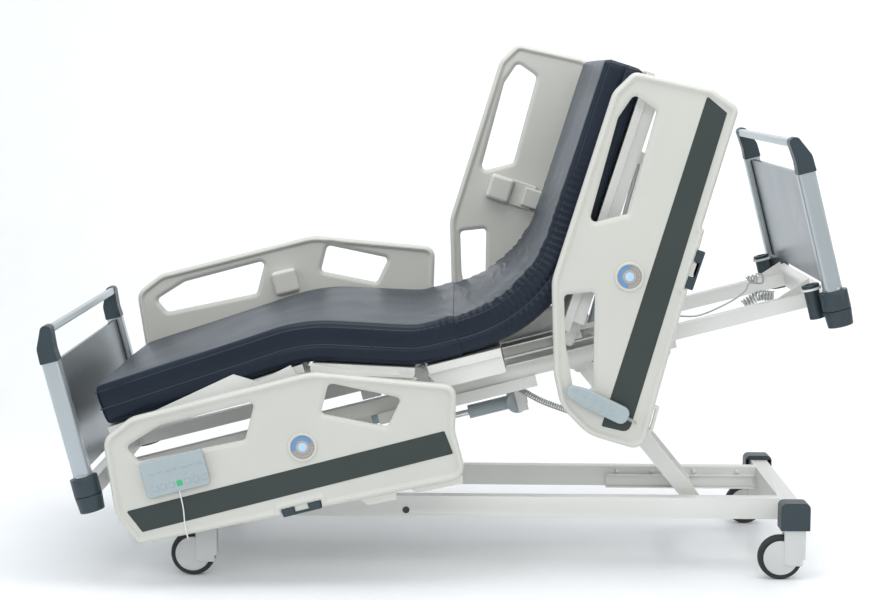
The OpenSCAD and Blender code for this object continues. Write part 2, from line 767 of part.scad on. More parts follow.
// Two posts and a handle bar; the spigots drop into the corner bumpers.
module board_frame(u, inboard) {
    post = rounded([[-24, -22, 10], [24, -22, 10], [24, 22, 10], [-24, 22, 10]], 4);
    color(silver) in_frame() {
        both_sides() {
            translate([u, corner_y, bumper_v0 + 20]) cylinder(r = spigot_r, h = 86);
            translate([u, corner_y, bumper_v1 + 1]) cylinder(r = 27, h = 8);
            translate([u, corner_y, bumper_v1 + 8]) linear_extrude(post_v1 - bumper_v1 - 8) polygon(post);
        }
        translate([u + inboard * 16, 0, handle_v])
            slab(handle_section(0), -corner_y + 12, corner_y - 12);
    }
}

// Hand grips on top of the posts, leaning inboard.
module board_grips(u, inboard) {
    grip = rounded([[u - inboard * 26, post_v1 + 0.1, 3], [u + inboard * 24, post_v1 + 0.1, 3],
        [u + inboard * 22, 410, 30], [u + inboard * 28, 472, 12], [u + inboard * 4, 480, 14],
        [u - inboard * 24, 420, 30]]);
    color(slate) in_frame() both_sides() difference() {
        slab(grip, corner_y - 24, corner_y + 24);
        translate([u + inboard * 16, 0, handle_v])
            slab(handle_section(0.1), corner_y - 25, corner_y - 11.9);
    }
}

module board_panel(u) {
    color(silver) in_frame()
        block([u - 6, -corner_y + 22.1, 62], [u + 6, corner_y - 22.1, post_v1 - 4]);
}

module head_board_frame() board_frame(head_end_u, -1);
module head_board_grips() board_grips(head_end_u, -1);
module head_board_panel() board_panel(head_end_u);
module foot_board_frame() board_frame(foot_end_u, 1);
module foot_board_grips() board_grips(foot_end_u, 1);
module foot_board_panel() board_panel(foot_end_u);

// ---------- side rails ----------

foot_outline = [[-500, -152, 20], [-540, -60, 60], [-518, 152, 45], [-430, 191, 80],
    [75, 192, 160], [444, 62, 35], [409, -60, 60], [411, -190, 40]];
foot_windows = [
    [[-464, 116, 12], [-360, 150, 30], [-92, 153, 12], [-146, 56, 14], [-440, 68, 14]],
    [[112, 152, 14], [292, 64, 12], [236, -3, 10], [70, 76, 12]]];
foot_stripe = [[-480, -121, 4], [-508, -55, 4], [382, -50, 4], [390, -116, 4]];

head_outline = [[518, 160, 26], [450, 196, 60], [-75, 193, 120], [-310, 110, 120], [-390, 64, 100],
    [-440, -30, 110], [-437, -182, 34], [180, -150, 4], [180, -141, 4], [512, -134, 24], [537, -49, 30]];
head_windows = [
    [[462, 141, 14], [440, 70, 14], [158, 56, 14], [100, 148, 14], [390, 162, 25]],
    [[-100, 150, 12], [-66, 74, 12], [-322, -4, 16], [-336, 46, 16], [-222, 106, 30]]];
head_stripe = [[516, -43, 4], [490, -107, 4], [-400, -132, 20], [-406, -56, 4]];

// Rail moulding with its inner pivot block; side is -1 for the patient's left.
module rail_shell(outline, windows, stripe, latch_u, latch_v) {
    pivot_block = rounded([[latch_u - 30, rail_pivot_v - 16, 12], [latch_u + 30, rail_pivot_v - 16, 12],
        [latch_u + 30, -2, 12], [latch_u - 30, -2, 12]]);
    stop_block = rounded([[latch_u - 41, 33, 8], [latch_u + 41, 33, 8],
        [latch_u + 41, 112, 8], [latch_u - 41, 112, 8]]);
    difference() {
        union() {
            slab(rounded(outline, outline_steps), rail_inner_y, rail_outer_y);
            slab(pivot_block, hinge_y - 13, rail_inner_y + 1);
            slab(stop_block, hinge_y - 13, rail_inner_y + 1);
        }
        for (w = windows)
            slab(rounded(w, outline_steps), rail_inner_y - 1, rail_outer_y + 1);
        slab(rounded(stripe, 3), rail_outer_y - 2, rail_outer_y + 1);
        rod_y(0, 0, 40, rail_outer_y - 3, rail_outer_y + 1);
        rod_x(latch_u - 31, latch_u + 31, hinge_y, rail_pivot_v, rail_pin_r + gap);
        // pocket of the latch, open below; the front is notched only as high as the legs show
        block([latch_u - 62, rail_inner_y + 6, rail_pivot_v - 70],
              [latch_u + 62, rail_outer_y - 6, rail_pivot_v - 8]);
        block([latch_u - 55, rail_outer_y - 7, rail_pivot_v - 70],
              [latch_u + 55, rail_outer_y + 1, latch_v + latch_leg_top - 1]);
    }
}

// Coloured stripe and the round inclinometer.
module rail_trim(stripe) {
    inset = 0.2;
    slab(rounded([for (p = stripe) [p[0] - sign(p[0]) * inset, p[1] + (p[1] > -85 ? -inset : inset), p[2]]], 3),
        rail_outer_y - 1.9, rail_outer_y + 0.6);
    rod_y(0, 0, 39.8, rail_outer_y - 2.9, rail_outer_y + 1);
    difference() {
        rod_y(0, 0, 39.8, rail_outer_y, rail_outer_y + 4);
        rod_y(0, 0, 33, rail_outer_y + 0.9, rail_outer_y + 5);
    }
    rod_y(0, 0, 14, rail_outer_y, rail_outer_y + 3);
}

// Swing arm: two bars either side of the pivot blocks, joined by both pins.
module rail_arm(latch_u, direction) {
    for (u = [latch_u - 44.5, latch_u + 31.5])
        arm_bar(u, u + 13, direction);
    rod_x(latch_u - 44, latch_u + 44, hinge_y, rail_pivot_v, rail_pin_r);
    rod_x(latch_u - 44, latch_u + 44, hinge_y, rail_pivot_v + direction * rail_arm_len, rail_pin_r);
}

// One bar of the swing arm between x0 and x1.
module arm_bar(x0, x1, direction) {
    rod_x(x0, x1, hinge_y, rail_pivot_v, 12);
    rod_x(x0, x1, hinge_y, rail_pivot_v + direction * rail_arm_len, 12);
    low = min(rail_pivot_v, rail_pivot_v + direction * rail_arm_len);
    block([x0, hinge_y - 12, low], [x1, hinge_y + 12, low + rail_arm_len]);
}

// Two-legged release handle below the rail; it slides up into its pocket.
module rail_latch(latch_u, low_v) {
    y0 = rail_inner_y + 7;
    y1 = rail_outer_y - 7;
    for (s = [-1, 1])
        block([latch_u + s * 37 - 17, y0, low_v + 5], [latch_u + s * 37 + 17, y1, low_v + latch_leg_top]);
    block([latch_u - 54, y0, low_v], [latch_u + 54, y1, low_v + 6]);
}

module left_side() mirror([0, 1, 0]) children();

module foot_shell() rail_shell(foot_outline, foot_windows, foot_stripe, foot_latch_u, foot_latch_v);
module head_shell() rail_shell(head_outline, head_windows, head_stripe, head_latch_u, head_latch_v);

module foot_rail_l() color(warm_white) in_foot_rail(false) left_side() foot_shell();
module foot_rail_r() color(warm_white) in_foot_rail(true) foot_shell();
module head_rail_l() color(warm_white) in_head_rail(false) left_side() head_shell();
module head_rail_r() color(warm_white) in_head_rail(true) head_shell();
module foot_rail_trim_l() color(dark_grey) in_foot_rail(false) left_side() rail_trim(foot_stripe);
module foot_rail_trim_r() color(dark_grey) in_foot_rail(true) rail_trim(foot_stripe);
module head_rail_trim_l() color(dark_grey) in_head_rail(false) left_side() rail_trim(head_stripe);
module head_rail_trim_r() color(dark_grey) in_head_rail(true) rail_trim(head_stripe);
module foot_rail_arm_l() color(steel_white) in_foot_rail(false) left_side() rail_arm(foot_latch_u, 1);
module foot_rail_arm_r() color(steel_white) in_foot_rail(true) rail_arm(foot_latch_u, -1);
module head_rail_arm_l() color(steel_white) in_head_rail(false) left_side() rail_arm(head_latch_u, 1);
module head_rail_arm_r() color(steel_white) in_head_rail(true) rail_arm(head_latch_u, -1);

module foot_latch() color(slate) rail_latch(foot_latch_u, foot_latch_v);
module head_latch() color(slate) rail_latch(head_latch_u, head_latch_v);

module foot_rail_latch_l() in_foot_rail(false) left_side() foot_latch();
module foot_rail_latch_r() in_foot_rail(true) foot_latch();
module head_rail_latch_l() in_head_rail(false) left_side() head_latch();
module head_rail_latch_r() in_head_rail(true) head_latch();

// Patient's hand control, hooked over the lower edge of the left head rail.
module handset() color(device_grey) in_head_rail(false) left_side() {
    body = rounded([[-92, -24, 20], [40, -24, 60], [88, -14, 12], [88, 14, 12], [40, 24, 60], [-92, 24, 20]]);
    translate([handset_at[0], rail_outer_y + device_gap, handset_at[1]])
        rotate([0, -handset_turn, 0]) slab(body, 0, 20);
}

// Staff control panel on the left foot rail.
module nurse_panel() color(device_grey) in_foot_rail(false) left_side() {
    face = rounded([[-438, -33, 8], [-438, 66, 8], [-263, 66, 8], [-263, -33, 8]]);
    slab(face, rail_outer_y + device_gap, rail_outer_y + 14);
}

base_frame();
roller_channels();
base_covers();
caster_fork_head_l();
caster_fork_head_r();
caster_fork_foot_l();
caster_fork_foot_r();
caster_wheel_head_l();
caster_wheel_head_r();
caster_wheel_foot_l();
caster_wheel_foot_r();
foot_lift_arms();
foot_lift_shaft();
head_lift_arms();
head_lift_shaft();
lift_rollers();
upper_frame();
seat_panel();
corner_bumpers();
pole_sockets();
lift_actuators();
head_lift_rod();
foot_lift_rod();
knee_actuator();
knee_rod();
back_actuator();
back_rod();
backrest_carriage();
back_frame();
back_panel();
thigh_panel();
calf_panel();
mattress_back();
mattress_seat();
mattress_thigh();
mattress_calf();
head_board_frame();
head_board_grips();
head_board_panel();
foot_board_frame();
foot_board_grips();
foot_board_panel();
head_rail_l();
head_rail_r();
foot_rail_l();
foot_rail_r();
head_rail_trim_l();
head_rail_trim_r();
foot_rail_trim_l();
foot_rail_trim_r();
head_rail_arm_l();
head_rail_arm_r();
foot_rail_arm_l();
foot_rail_arm_r();
head_rail_latch_l();
head_rail_latch_r();
foot_rail_latch_l();
foot_rail_latch_r();
handset();
nurse_panel();
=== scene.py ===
"""Looks of the adjustable hospital bed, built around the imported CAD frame. Units are metres."""
import json
import math

import bmesh
import bpy
import numpy as np
from mathutils import Matrix, Vector, noise


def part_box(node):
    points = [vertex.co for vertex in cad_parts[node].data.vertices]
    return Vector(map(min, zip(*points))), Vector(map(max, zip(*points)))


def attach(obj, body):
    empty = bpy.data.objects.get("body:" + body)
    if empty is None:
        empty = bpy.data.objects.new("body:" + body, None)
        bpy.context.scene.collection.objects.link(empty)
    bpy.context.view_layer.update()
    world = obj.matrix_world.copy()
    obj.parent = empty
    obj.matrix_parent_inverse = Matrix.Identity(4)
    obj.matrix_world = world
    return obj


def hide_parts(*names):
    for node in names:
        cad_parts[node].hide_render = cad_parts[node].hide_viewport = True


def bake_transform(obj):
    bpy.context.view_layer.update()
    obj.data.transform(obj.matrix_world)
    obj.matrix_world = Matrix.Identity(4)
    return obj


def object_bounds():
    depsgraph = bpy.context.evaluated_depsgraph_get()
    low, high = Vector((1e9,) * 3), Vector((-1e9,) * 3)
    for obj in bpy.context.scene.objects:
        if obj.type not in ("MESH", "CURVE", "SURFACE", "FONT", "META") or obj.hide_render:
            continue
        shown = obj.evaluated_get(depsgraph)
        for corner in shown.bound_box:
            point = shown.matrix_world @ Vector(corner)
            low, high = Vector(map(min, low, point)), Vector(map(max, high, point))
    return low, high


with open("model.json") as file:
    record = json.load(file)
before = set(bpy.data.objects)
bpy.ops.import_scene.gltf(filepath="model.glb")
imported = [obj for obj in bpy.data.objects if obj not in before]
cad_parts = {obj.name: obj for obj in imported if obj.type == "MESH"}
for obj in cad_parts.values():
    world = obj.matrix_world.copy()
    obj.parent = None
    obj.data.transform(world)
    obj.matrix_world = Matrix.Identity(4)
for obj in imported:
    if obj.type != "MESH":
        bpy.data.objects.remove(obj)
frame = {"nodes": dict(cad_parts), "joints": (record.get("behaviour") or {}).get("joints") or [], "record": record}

cad_low, cad_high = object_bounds()

# ---------- local frames, from the record's joints ----------

joints = {j["name"]: j for j in frame["joints"]}


class Place:
    """A flat frame in the X-Z plane: an origin, a direction along and one square to it."""

    def __init__(self, origin, along):
        self.origin = Vector((origin[0], 0, origin[2]))
        self.along = Vector(along).normalized()
        self.up = Vector((-self.along.z, 0, self.along.x))

    def at(self, along, up, y=0.0):
        point = self.origin + self.along * along + self.up * up
        point.y = y
        return point


def joint_at(name):
    return Vector(joints[name]["pos_m"])


def lie_of(node):
    """Direction, towards the head end, that a CAD slab's largest flat face lies along in the X-Z plane."""
    areas = {}
    for face in frame["nodes"][node].data.polygons:
        n = face.normal
        if abs(n.y) < 0.01:
            key = (round(abs(n.x), 3), round(abs(n.z), 3), n.x * n.z > 0)
            areas[key] = areas.get(key, 0) + face.area
    x, z, same_sign = max(areas, key=areas.get)
    return Vector((z, 0, -x if same_sign else x))


upper = Place(joint_at("thigh_raise"), -Vector(joints["foot_rail_swing_l"]["axis"]))
back = Place(joint_at("backrest"), -Vector(joints["head_rail_swing_l"]["axis"]))
thigh_hinge = joint_at("thigh_raise")
knee_hinge = joint_at("calf_fold")
thigh = Place(knee_hinge, thigh_hinge - knee_hinge)
calf = Place(knee_hinge, lie_of("mattress_calf"))

# ---------- materials ----------


def node_material(name, colour, rough, metal=0.0, grain=600.0, bump=0.15, vary=0.05, wear=0.08,
                  coat=0.0, stretch=(1, 1, 1)):
    """Moulded, painted or brushed surface: fine grain bump, tone and gloss variation, paler worn edges."""
    mat = bpy.data.materials.new(name)
    mat.use_nodes = True
    nodes, links = mat.node_tree.nodes, mat.node_tree.links
    shader = nodes["Principled BSDF"]
    shader.inputs["Metallic"].default_value = metal
    shader.inputs["Coat Weight"].default_value = coat
    place = nodes.new("ShaderNodeTexCoord")
    scale = nodes.new("ShaderNodeMapping")
    scale.inputs["Scale"].default_value = stretch
    links.new(place.outputs["Object"], scale.inputs["Vector"])
    cloudy = nodes.new("ShaderNodeTexNoise")
    cloudy.inputs["Scale"].default_value = 7.0
    cloudy.inputs["Detail"].default_value = 5.0
    fine = nodes.new("ShaderNodeTexNoise")
    fine.inputs["Scale"].default_value = grain
    fine.inputs["Detail"].default_value = 3.0
    for texture in (cloudy, fine):
        links.new(scale.outputs["Vector"], texture.inputs["Vector"])
    tone = nodes.new("ShaderNodeValToRGB")
    tone.color_ramp.elements[0].position = 0.3
    tone.color_ramp.elements[1].position = 0.7
    tone.color_ramp.elements[0].color = [c * (1 - vary) for c in colour] + [1]
    tone.color_ramp.elements[1].color = [min(1, c * (1 + vary)) for c in colour] + [1]
    links.new(cloudy.outputs["Fac"], tone.inputs["Fac"])
    edges = nodes.new("ShaderNodeNewGeometry")
    worn = nodes.new("ShaderNodeMapRange")
    worn.inputs["From Min"].default_value = 0.52
    worn.inputs["From Max"].default_value = 0.62
    worn.inputs["To Max"].default_value = wear
    links.new(edges.outputs["Pointiness"], worn.inputs["Value"])
    mix = nodes.new("ShaderNodeMixRGB")
    mix.inputs["Color2"].default_value = [min(1, c * 1.5 + 0.08) for c in colour] + [1]
    links.new(worn.outputs["Result"], mix.inputs["Fac"])
    links.new(tone.outputs["Color"], mix.inputs["Color1"])
    links.new(mix.outputs["Color"], shader.inputs["Base Color"])
    gloss = nodes.new("ShaderNodeMapRange")
    gloss.inputs["To Min"].default_value = max(0.02, rough - 0.07)
    gloss.inputs["To Max"].default_value = min(1.0, rough + 0.07)
    links.new(cloudy.outputs["Fac"], gloss.inputs["Value"])
    links.new(gloss.outputs["Result"], shader.inputs["Roughness"])
    relief = nodes.new("ShaderNodeBump")
    relief.inputs["Strength"].default_value = bump
    relief.inputs["Distance"].default_value = 0.0004
    links.new(fine.outputs["Fac"], relief.inputs["Height"])
    links.new(relief.outputs["Normal"], shader.inputs["Normal"])
    return mat


def coated_fabric():
    """Coated stretch cover: a fine knit under a satin film, with small creases."""
    mat = node_material("coated_fabric", (0.0048, 0.0112, 0.0225), 0.36, grain=1500.0, bump=0.25, vary=0.12,
                        wear=0.0)
    nodes, links = mat.node_tree.nodes, mat.node_tree.links
    shader = nodes["Principled BSDF"]
    shader.inputs["Specular IOR Level"].default_value = 0.27
    shader.inputs["Sheen Weight"].default_value = 0.06
    shader.inputs["Sheen Roughness"].default_value = 0.35
    shader.inputs["Sheen Tint"].default_value = (0.45, 0.62, 0.9, 1)
    place = nodes.new("ShaderNodeTexCoord")
    creases = nodes.new("ShaderNodeTexNoise")
    creases.inputs["Scale"].default_value = 22.0
    creases.inputs["Detail"].default_value = 6.0
    creases.inputs["Distortion"].default_value = 0.6
    links.new(place.outputs["Object"], creases.inputs["Vector"])
    soft = nodes.new("ShaderNodeBump")
    soft.inputs["Strength"].default_value = 0.22
    soft.inputs["Distance"].default_value = 0.004
    links.new(creases.outputs["Fac"], soft.inputs["Height"])
    relief = [n for n in nodes if n.type == "BUMP" and n is not soft][0]
    links.new(soft.outputs["Normal"], relief.inputs["Normal"])
    return mat


FABRIC = coated_fabric()
PIPING = node_material("piping", (0.014, 0.024, 0.040), 0.55, grain=2500, bump=0.4)
RAIL = node_material("rail_plastic", (0.535, 0.535, 0.492), 0.42, grain=1400, bump=0.18, vary=0.02,
                     wear=0.25)
STRIPE = node_material("stripe_plastic", (0.020, 0.031, 0.0295), 0.5, grain=900, bump=0.3, vary=0.08,
                       wear=0.0)
PAINT = node_material("powder_coat", (0.66, 0.66, 0.63), 0.38, grain=700, bump=0.25, vary=0.025, wear=0.2)
SLATE = node_material("slate_plastic", (0.018, 0.034, 0.043), 0.42, grain=1100, bump=0.3, vary=0.1,
                      wear=0.12)
ALUMINIUM = node_material("satin_aluminium", (0.44, 0.485, 0.505), 0.32, metal=0.7, grain=900, bump=0.1,
                          vary=0.03, stretch=(1, 1, 0.03))
STEEL = node_material("polished_steel", (0.66, 0.68, 0.70), 0.22, metal=1.0, grain=1200, bump=0.08,
                      stretch=(0.05, 1, 1))
LAMINATE = node_material("metallic_laminate", (0.22, 0.25, 0.27), 0.30, metal=0.85, grain=1600, bump=0.12,
                         vary=0.05)
RUBBER = node_material("tyre_rubber", (0.022, 0.024, 0.026), 0.72, grain=900, bump=0.5, vary=0.2)
DISC = node_material("caster_plastic", (0.54, 0.55, 0.54), 0.45, grain=1100, bump=0.2, vary=0.03)
DEVICE = node_material("device_plastic", (0.34, 0.40, 0.42), 0.40, grain=1300, bump=0.2, vary=0.03,
                       wear=0.15)
DARK = node_material("dark_liner", (0.03, 0.032, 0.034), 0.6, grain=900, bump=0.3, vary=0.15)
CABLE = node_material("cable_sheath", (0.40, 0.41, 0.40), 0.45, grain=1500, bump=0.2)
BLUE = node_material("dial_blue", (0.10, 0.27, 0.52), 0.35, grain=1500, bump=0.05)
PALE_BLUE = node_material("dial_pale_blue", (0.42, 0.58, 0.74), 0.35, grain=1500, bump=0.05)
TAUPE = node_material("dial_taupe", (0.30, 0.28, 0.26), 0.4, grain=1500, bump=0.1)
KEY_LINE = node_material("key_outline", (0.30, 0.36, 0.38), 0.45, grain=1500, bump=0.1)
GREEN = node_material("green_key", (0.04, 0.42, 0.16), 0.4, grain=1500, bump=0.1)
ACCENT = node_material("stem_ring", (0.55, 0.60, 0.16), 0.45, grain=1200, bump=0.1)

# ---------- mesh helpers ----------


def add_piece(name, mesh, body, material, smooth=True):
    piece = bpy.data.objects.new(name, mesh)
    bpy.context.scene.collection.objects.link(piece)
    mesh.materials.append(material)
    if smooth:
        mesh.polygons.foreach_set("use_smooth", [True] * len(mesh.polygons))
    if body:
        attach(piece, body)
    return piece


def from_bmesh(name, bm):
    mesh = bpy.data.meshes.new(name)
    bmesh.ops.recalc_face_normals(bm, faces=bm.faces)
    bm.to_mesh(mesh)
    bm.free()
    return mesh


def round_edges(piece, width, segments=3, angle=35):
    bevel = piece.modifiers.new("round_edges", "BEVEL")
    bevel.width = width
    bevel.segments = segments
    bevel.limit_method = "ANGLE"
    bevel.angle_limit = math.radians(angle)
    bevel.harden_normals = True
    return piece


def soft_box(name, place, low, high, radius, body, material):
    """Rounded box between two (along, up, y) corners of a local frame."""
    bm = bmesh.new()
    corners = [bm.verts.new(place.at(a, u, y)) for a in (low[0], high[0]) for u in (low[1], high[1])
               for y in (low[2], high[2])]
    for face in ((0, 1, 3, 2), (4, 6, 7, 5), (0, 4, 5, 1), (2, 3, 7, 6), (0, 2, 6, 4), (1, 5, 7, 3)):
        bm.faces.new([corners[i] for i in face])
    return round_edges(add_piece(name, from_bmesh(name, bm), body, material), radius, 4)


def prism(name, place, outline, y0, y1, radius, body, material):
    """Outline of (along, up) points, extruded across the bed, with rounded edges."""
    bm = bmesh.new()
    rings = [[bm.verts.new(place.at(a, u, y)) for a, u in outline] for y in (y0, y1)]
    bm.faces.new(rings[0])
    bm.faces.new(rings[1][::-1])
    count = len(outline)
    for i in range(count):
        bm.faces.new([rings[0][i], rings[1][i], rings[1][(i + 1) % count], rings[0][(i + 1) % count]])
    return round_edges(add_piece(name, from_bmesh(name, bm), body, material), radius, 3)


def lathe(name, centre, axis, profile, body, material, steps=64):
    """Turns (radius, along) points about an axis through centre."""
    turn = Vector((0, 0, 1)).rotation_difference(Vector(axis)).to_matrix()
    bm = bmesh.new()
    rings = []
    for radius, along in profile:
        ring = []
        for i in range(steps):
            angle = math.tau * i / steps
            spot = Vector((radius * math.cos(angle), radius * math.sin(angle), along))
            ring.append(bm.verts.new(Vector(centre) + turn @ spot))
        rings.append(ring)
    for a, b in zip(rings, rings[1:]):
        for i in range(steps):
            bm.faces.new([a[i], a[(i + 1) % steps], b[(i + 1) % steps], b[i]])
    bm.faces.new(rings[0])
    bm.faces.new(rings[-1][::-1])
    return round_edges(add_piece(name, from_bmesh(name, bm), body, material), 0.0004, 2, 30)


def arc_plate(name, place, centre, radii, angles, y0, y1, body, material, steps=40):
    """Part of a flat ring between two radii and two angles in degrees, measured from along."""
    outline = []
    for radius, order in ((radii[1], 1), (radii[0], -1)):
        turns = [math.radians(angles[0] + (angles[1] - angles[0]) * i / steps) for i in range(steps + 1)]
        for turn in turns[::order]:
            outline.append((centre[0] + radius * math.cos(turn), centre[1] + radius * math.sin(turn)))
    return prism(name, place, outline, y0, y1, 0.0002, body, material)


def tube(name, points, radius, body, material, cyclic=False):
    """Smooth round tube through points."""
    curve = bpy.data.curves.new(name, "CURVE")
    curve.dimensions = "3D"
    curve.bevel_depth = radius
    curve.bevel_resolution = 3
    curve.use_fill_caps = True
    spline = curve.splines.new("POLY")
    spline.points.add(len(points) - 1)
    for spot, point in zip(spline.points, points):
        spot.co = (*point, 1)
    spline.use_cyclic_u = cyclic
    holder = bpy.data.objects.new(name + "_curve", curve)
    bpy.context.scene.collection.objects.link(holder)
    bpy.context.view_layer.update()
    mesh = bpy.data.meshes.new_from_object(holder.evaluated_get(bpy.context.evaluated_depsgraph_get()))
    bpy.data.objects.remove(holder)
    mesh.materials.clear()
    mesh.name = name
    return add_piece(name, mesh, body, material)


def sweep_through(knots, steps=24):
    """Catmull-Rom points through knots."""
    ends = [knots[0] * 2 - knots[1]] + list(knots) + [knots[-1] * 2 - knots[-2]]
    points = []
    for i in range(len(knots) - 1):
        a, b, c, d = ends[i:i + 4]
        for k in range(steps):
            t = k / steps
            points.append(0.5 * ((2 * b) + (c - a) * t + (2 * a - 5 * b + 4 * c - d) * t ** 2
                                 + (3 * b - a - 3 * c + d) * t ** 3))
    return points + [knots[-1]]


def coil(knots, radius, pitch):
    """Points of a spring coiled round the smooth line through knots."""
    line = sweep_through(knots)
    points, travelled = [], 0.0
    for a, b in zip(line, line[1:]):
        step = (b - a).length
        side = (b - a).cross(Vector((0, 1, 0))).normalized()
        lift = (b - a).normalized().cross(side)
        count = max(2, int(step / pitch * 14))
        for k in range(count):
            angle = math.tau * (travelled + step * k / count) / pitch
            turn = side * radius * math.cos(angle) + lift * radius * math.sin(angle)
            points.append(a.lerp(b, k / count) + turn)
        travelled += step
    return points


# ---------- mattress ----------

MATTRESS_LOW = 0.037          # underside and top, above the hinge line of each section
MATTRESS_HIGH = 0.153
EDGE_RADIUS = 0.016
HALF_WIDTH = (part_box("mattress_calf")[1].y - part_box("mattress_calf")[0].y) / 2
STATION = 0.0045              # spacing of the cross-sections
ARC_STEPS = 6                 # steps round a cross-section: each corner, the top, a side, the underside
TOP_STEPS = 44
SIDE_STEPS = 12
UNDER_STEPS = 10
BEND_RADII = [0.42, 0.26, 0.40]      # of the middle line, at the knee, the front of the seat and the hip
CUT_HEIGHT = 0.09
THIGH_CUT = 0.17              # along the thigh section from the knee: where the leg and seat covers meet
HIP_CUT = 0.130               # along the frame from the thigh hinge: where the seat and back covers meet
TUCK = 0.003                  # the back cover is this much slimmer where it slides into the seat cover
TUCK_LENGTH = 0.16


def corner_between(place_a, place_b, height):
    """Where the lines at this height over two sections cross."""
    a, b = place_a.at(0, height), place_b.at(0, height)
    d, e = place_a.along, place_b.along
    t = ((b.x - a.x) * e.z - (b.z - a.z) * e.x) / (d.x * e.z - d.z * e.x)
    return a + d * t


def filleted(corners, radii):
    """Evenly spaced points along a path whose corners are rounded by arcs."""
    path = [corners[0]]
    for i, radius in enumerate(radii, start=1):
        before = (corners[i - 1] - corners[i]).normalized()
        after = (corners[i + 1] - corners[i]).normalized()
        half = before.angle(after) / 2
        middle = corners[i] + (before + after).normalized() * radius / math.sin(half)
        start = corners[i] + before * radius / math.tan(half) - middle
        end = corners[i] + after * radius / math.tan(half) - middle
        path += [middle + start.lerp(end, k / 30).normalized() * radius for k in range(31)]
    path.append(corners[-1])
    return path


def resample(path, spacing):
    lengths = [0.0]
    for a, b in zip(path, path[1:]):
        lengths.append(lengths[-1] + (b - a).length)
    count = int(lengths[-1] / spacing)
    points, k = [], 0
    for i in range(count + 1):
        want = lengths[-1] * i / count
        while k < len(path) - 2 and lengths[k + 1] < want:
            k += 1
        share = (want - lengths[k]) / max(1e-9, lengths[k + 1] - lengths[k])
        points.append(path[k].lerp(path[k + 1], share))
    return points


def mattress_line():
    """Middle line of the mattress from the foot end to the head end."""
    middle = (MATTRESS_LOW + MATTRESS_HIGH) / 2
    calf_points = frame["nodes"]["mattress_calf"].data.vertices
    back_points = frame["nodes"]["mattress_back"].data.vertices
    foot_end = min((Vector(v.co) - knee_hinge).dot(calf.along) for v in calf_points)
    head_end = max((Vector(v.co) - joint_at("backrest")).dot(back.along) for v in back_points)
    corners = [calf.at(foot_end, middle),
               corner_between(calf, thigh, middle),
               corner_between(thigh, upper, middle),
               corner_between(upper, back, middle),
               back.at(head_end, middle)]
    return resample(filleted(corners, BEND_RADII), STATION)


def bend_share(point):
    """0 away from the hip bend, 1 in the middle of it."""
    middle = corner_between(upper, back, MATTRESS_HIGH)
    return math.exp(-((point - middle).length / 0.26) ** 2)


def ring_points(half_y, half_h):
    """Cross-section of the mattress: fine steps over the top and sides, coarse below."""
    inner_y, inner_h = half_y - EDGE_RADIUS, half_h - EDGE_RADIUS
    arc = [math.radians(90 * k / ARC_STEPS) for k in range(ARC_STEPS + 1)]
    top = [(-inner_y + inner_y * 2 * k / TOP_STEPS, half_h) for k in range(1, TOP_STEPS)]
    side = [inner_h - inner_h * 2 * k / SIDE_STEPS for k in range(1, SIDE_STEPS)]
    bottom = [(inner_y - inner_y * 2 * k / UNDER_STEPS, -half_h) for k in range(1, UNDER_STEPS)]
    ring = [(-inner_y - EDGE_RADIUS * math.cos(a), inner_h + EDGE_RADIUS * math.sin(a)) for a in arc] + top
    ring += [(inner_y + EDGE_RADIUS * math.sin(a), inner_h + EDGE_RADIUS * math.cos(a)) for a in arc]
    ring += [(half_y, h) for h in side]
    ring += [(inner_y + EDGE_RADIUS * math.cos(a), -inner_h - EDGE_RADIUS * math.sin(a)) for a in arc]
    ring += bottom
    ring += [(-inner_y - EDGE_RADIUS * math.sin(a), -inner_h - EDGE_RADIUS * math.cos(a)) for a in arc]
    ring += [(-half_y, h) for h in side[::-1]]
    return ring


def cover_relief(travel, point, y, h, half_y, half_h):
    """How far the cover stands out: slack folds at the hip, gathers on the sides, soft creases elsewhere."""
    bend = bend_share(point)
    on_top = max(0.0, min(1.0, (h / half_h - 0.6) / 0.4))
    on_side = max(0.0, min(1.0, (abs(y) / half_y - 0.95) / 0.05))
    edge = abs(y) / half_y
    lean = travel + 0.16 * (y + half_y) + 0.07 * noise.noise(Vector((travel * 3, y * 3, 0)))
    ridges = noise.noise(Vector((lean * 24, y * 3.4, 5))) + 0.5 * noise.noise(Vector((lean * 50, y * 7, 9)))
    sharp = max(0.0, 1 - 2.2 * abs(ridges)) ** 1.5
    ruffle = math.sin(math.tau * travel / 0.019 + 2.2 * noise.noise(Vector((travel * 14, 1.5, y))))
    top = bend * (0.0030 + 0.0030 * edge ** 2) * sharp
    top += 0.0020 * noise.noise(Vector((travel * 5, y * 4, 3)))
    upper_band = 1.0 if h > -0.1 * half_h else 0.35
    side = 0.0020 * bend * ruffle * upper_band + 0.0016 * noise.noise(Vector((travel * 7, h * 14, y)))
    crown = 0.004 * (1 - edge ** 4) * on_top
    pinch = -0.0035 * math.exp(-((h + 0.008) / 0.006) ** 2)
    return on_top * top + crown + on_side * (side + pinch + 0.003 * (1 - (h / half_h) ** 2))


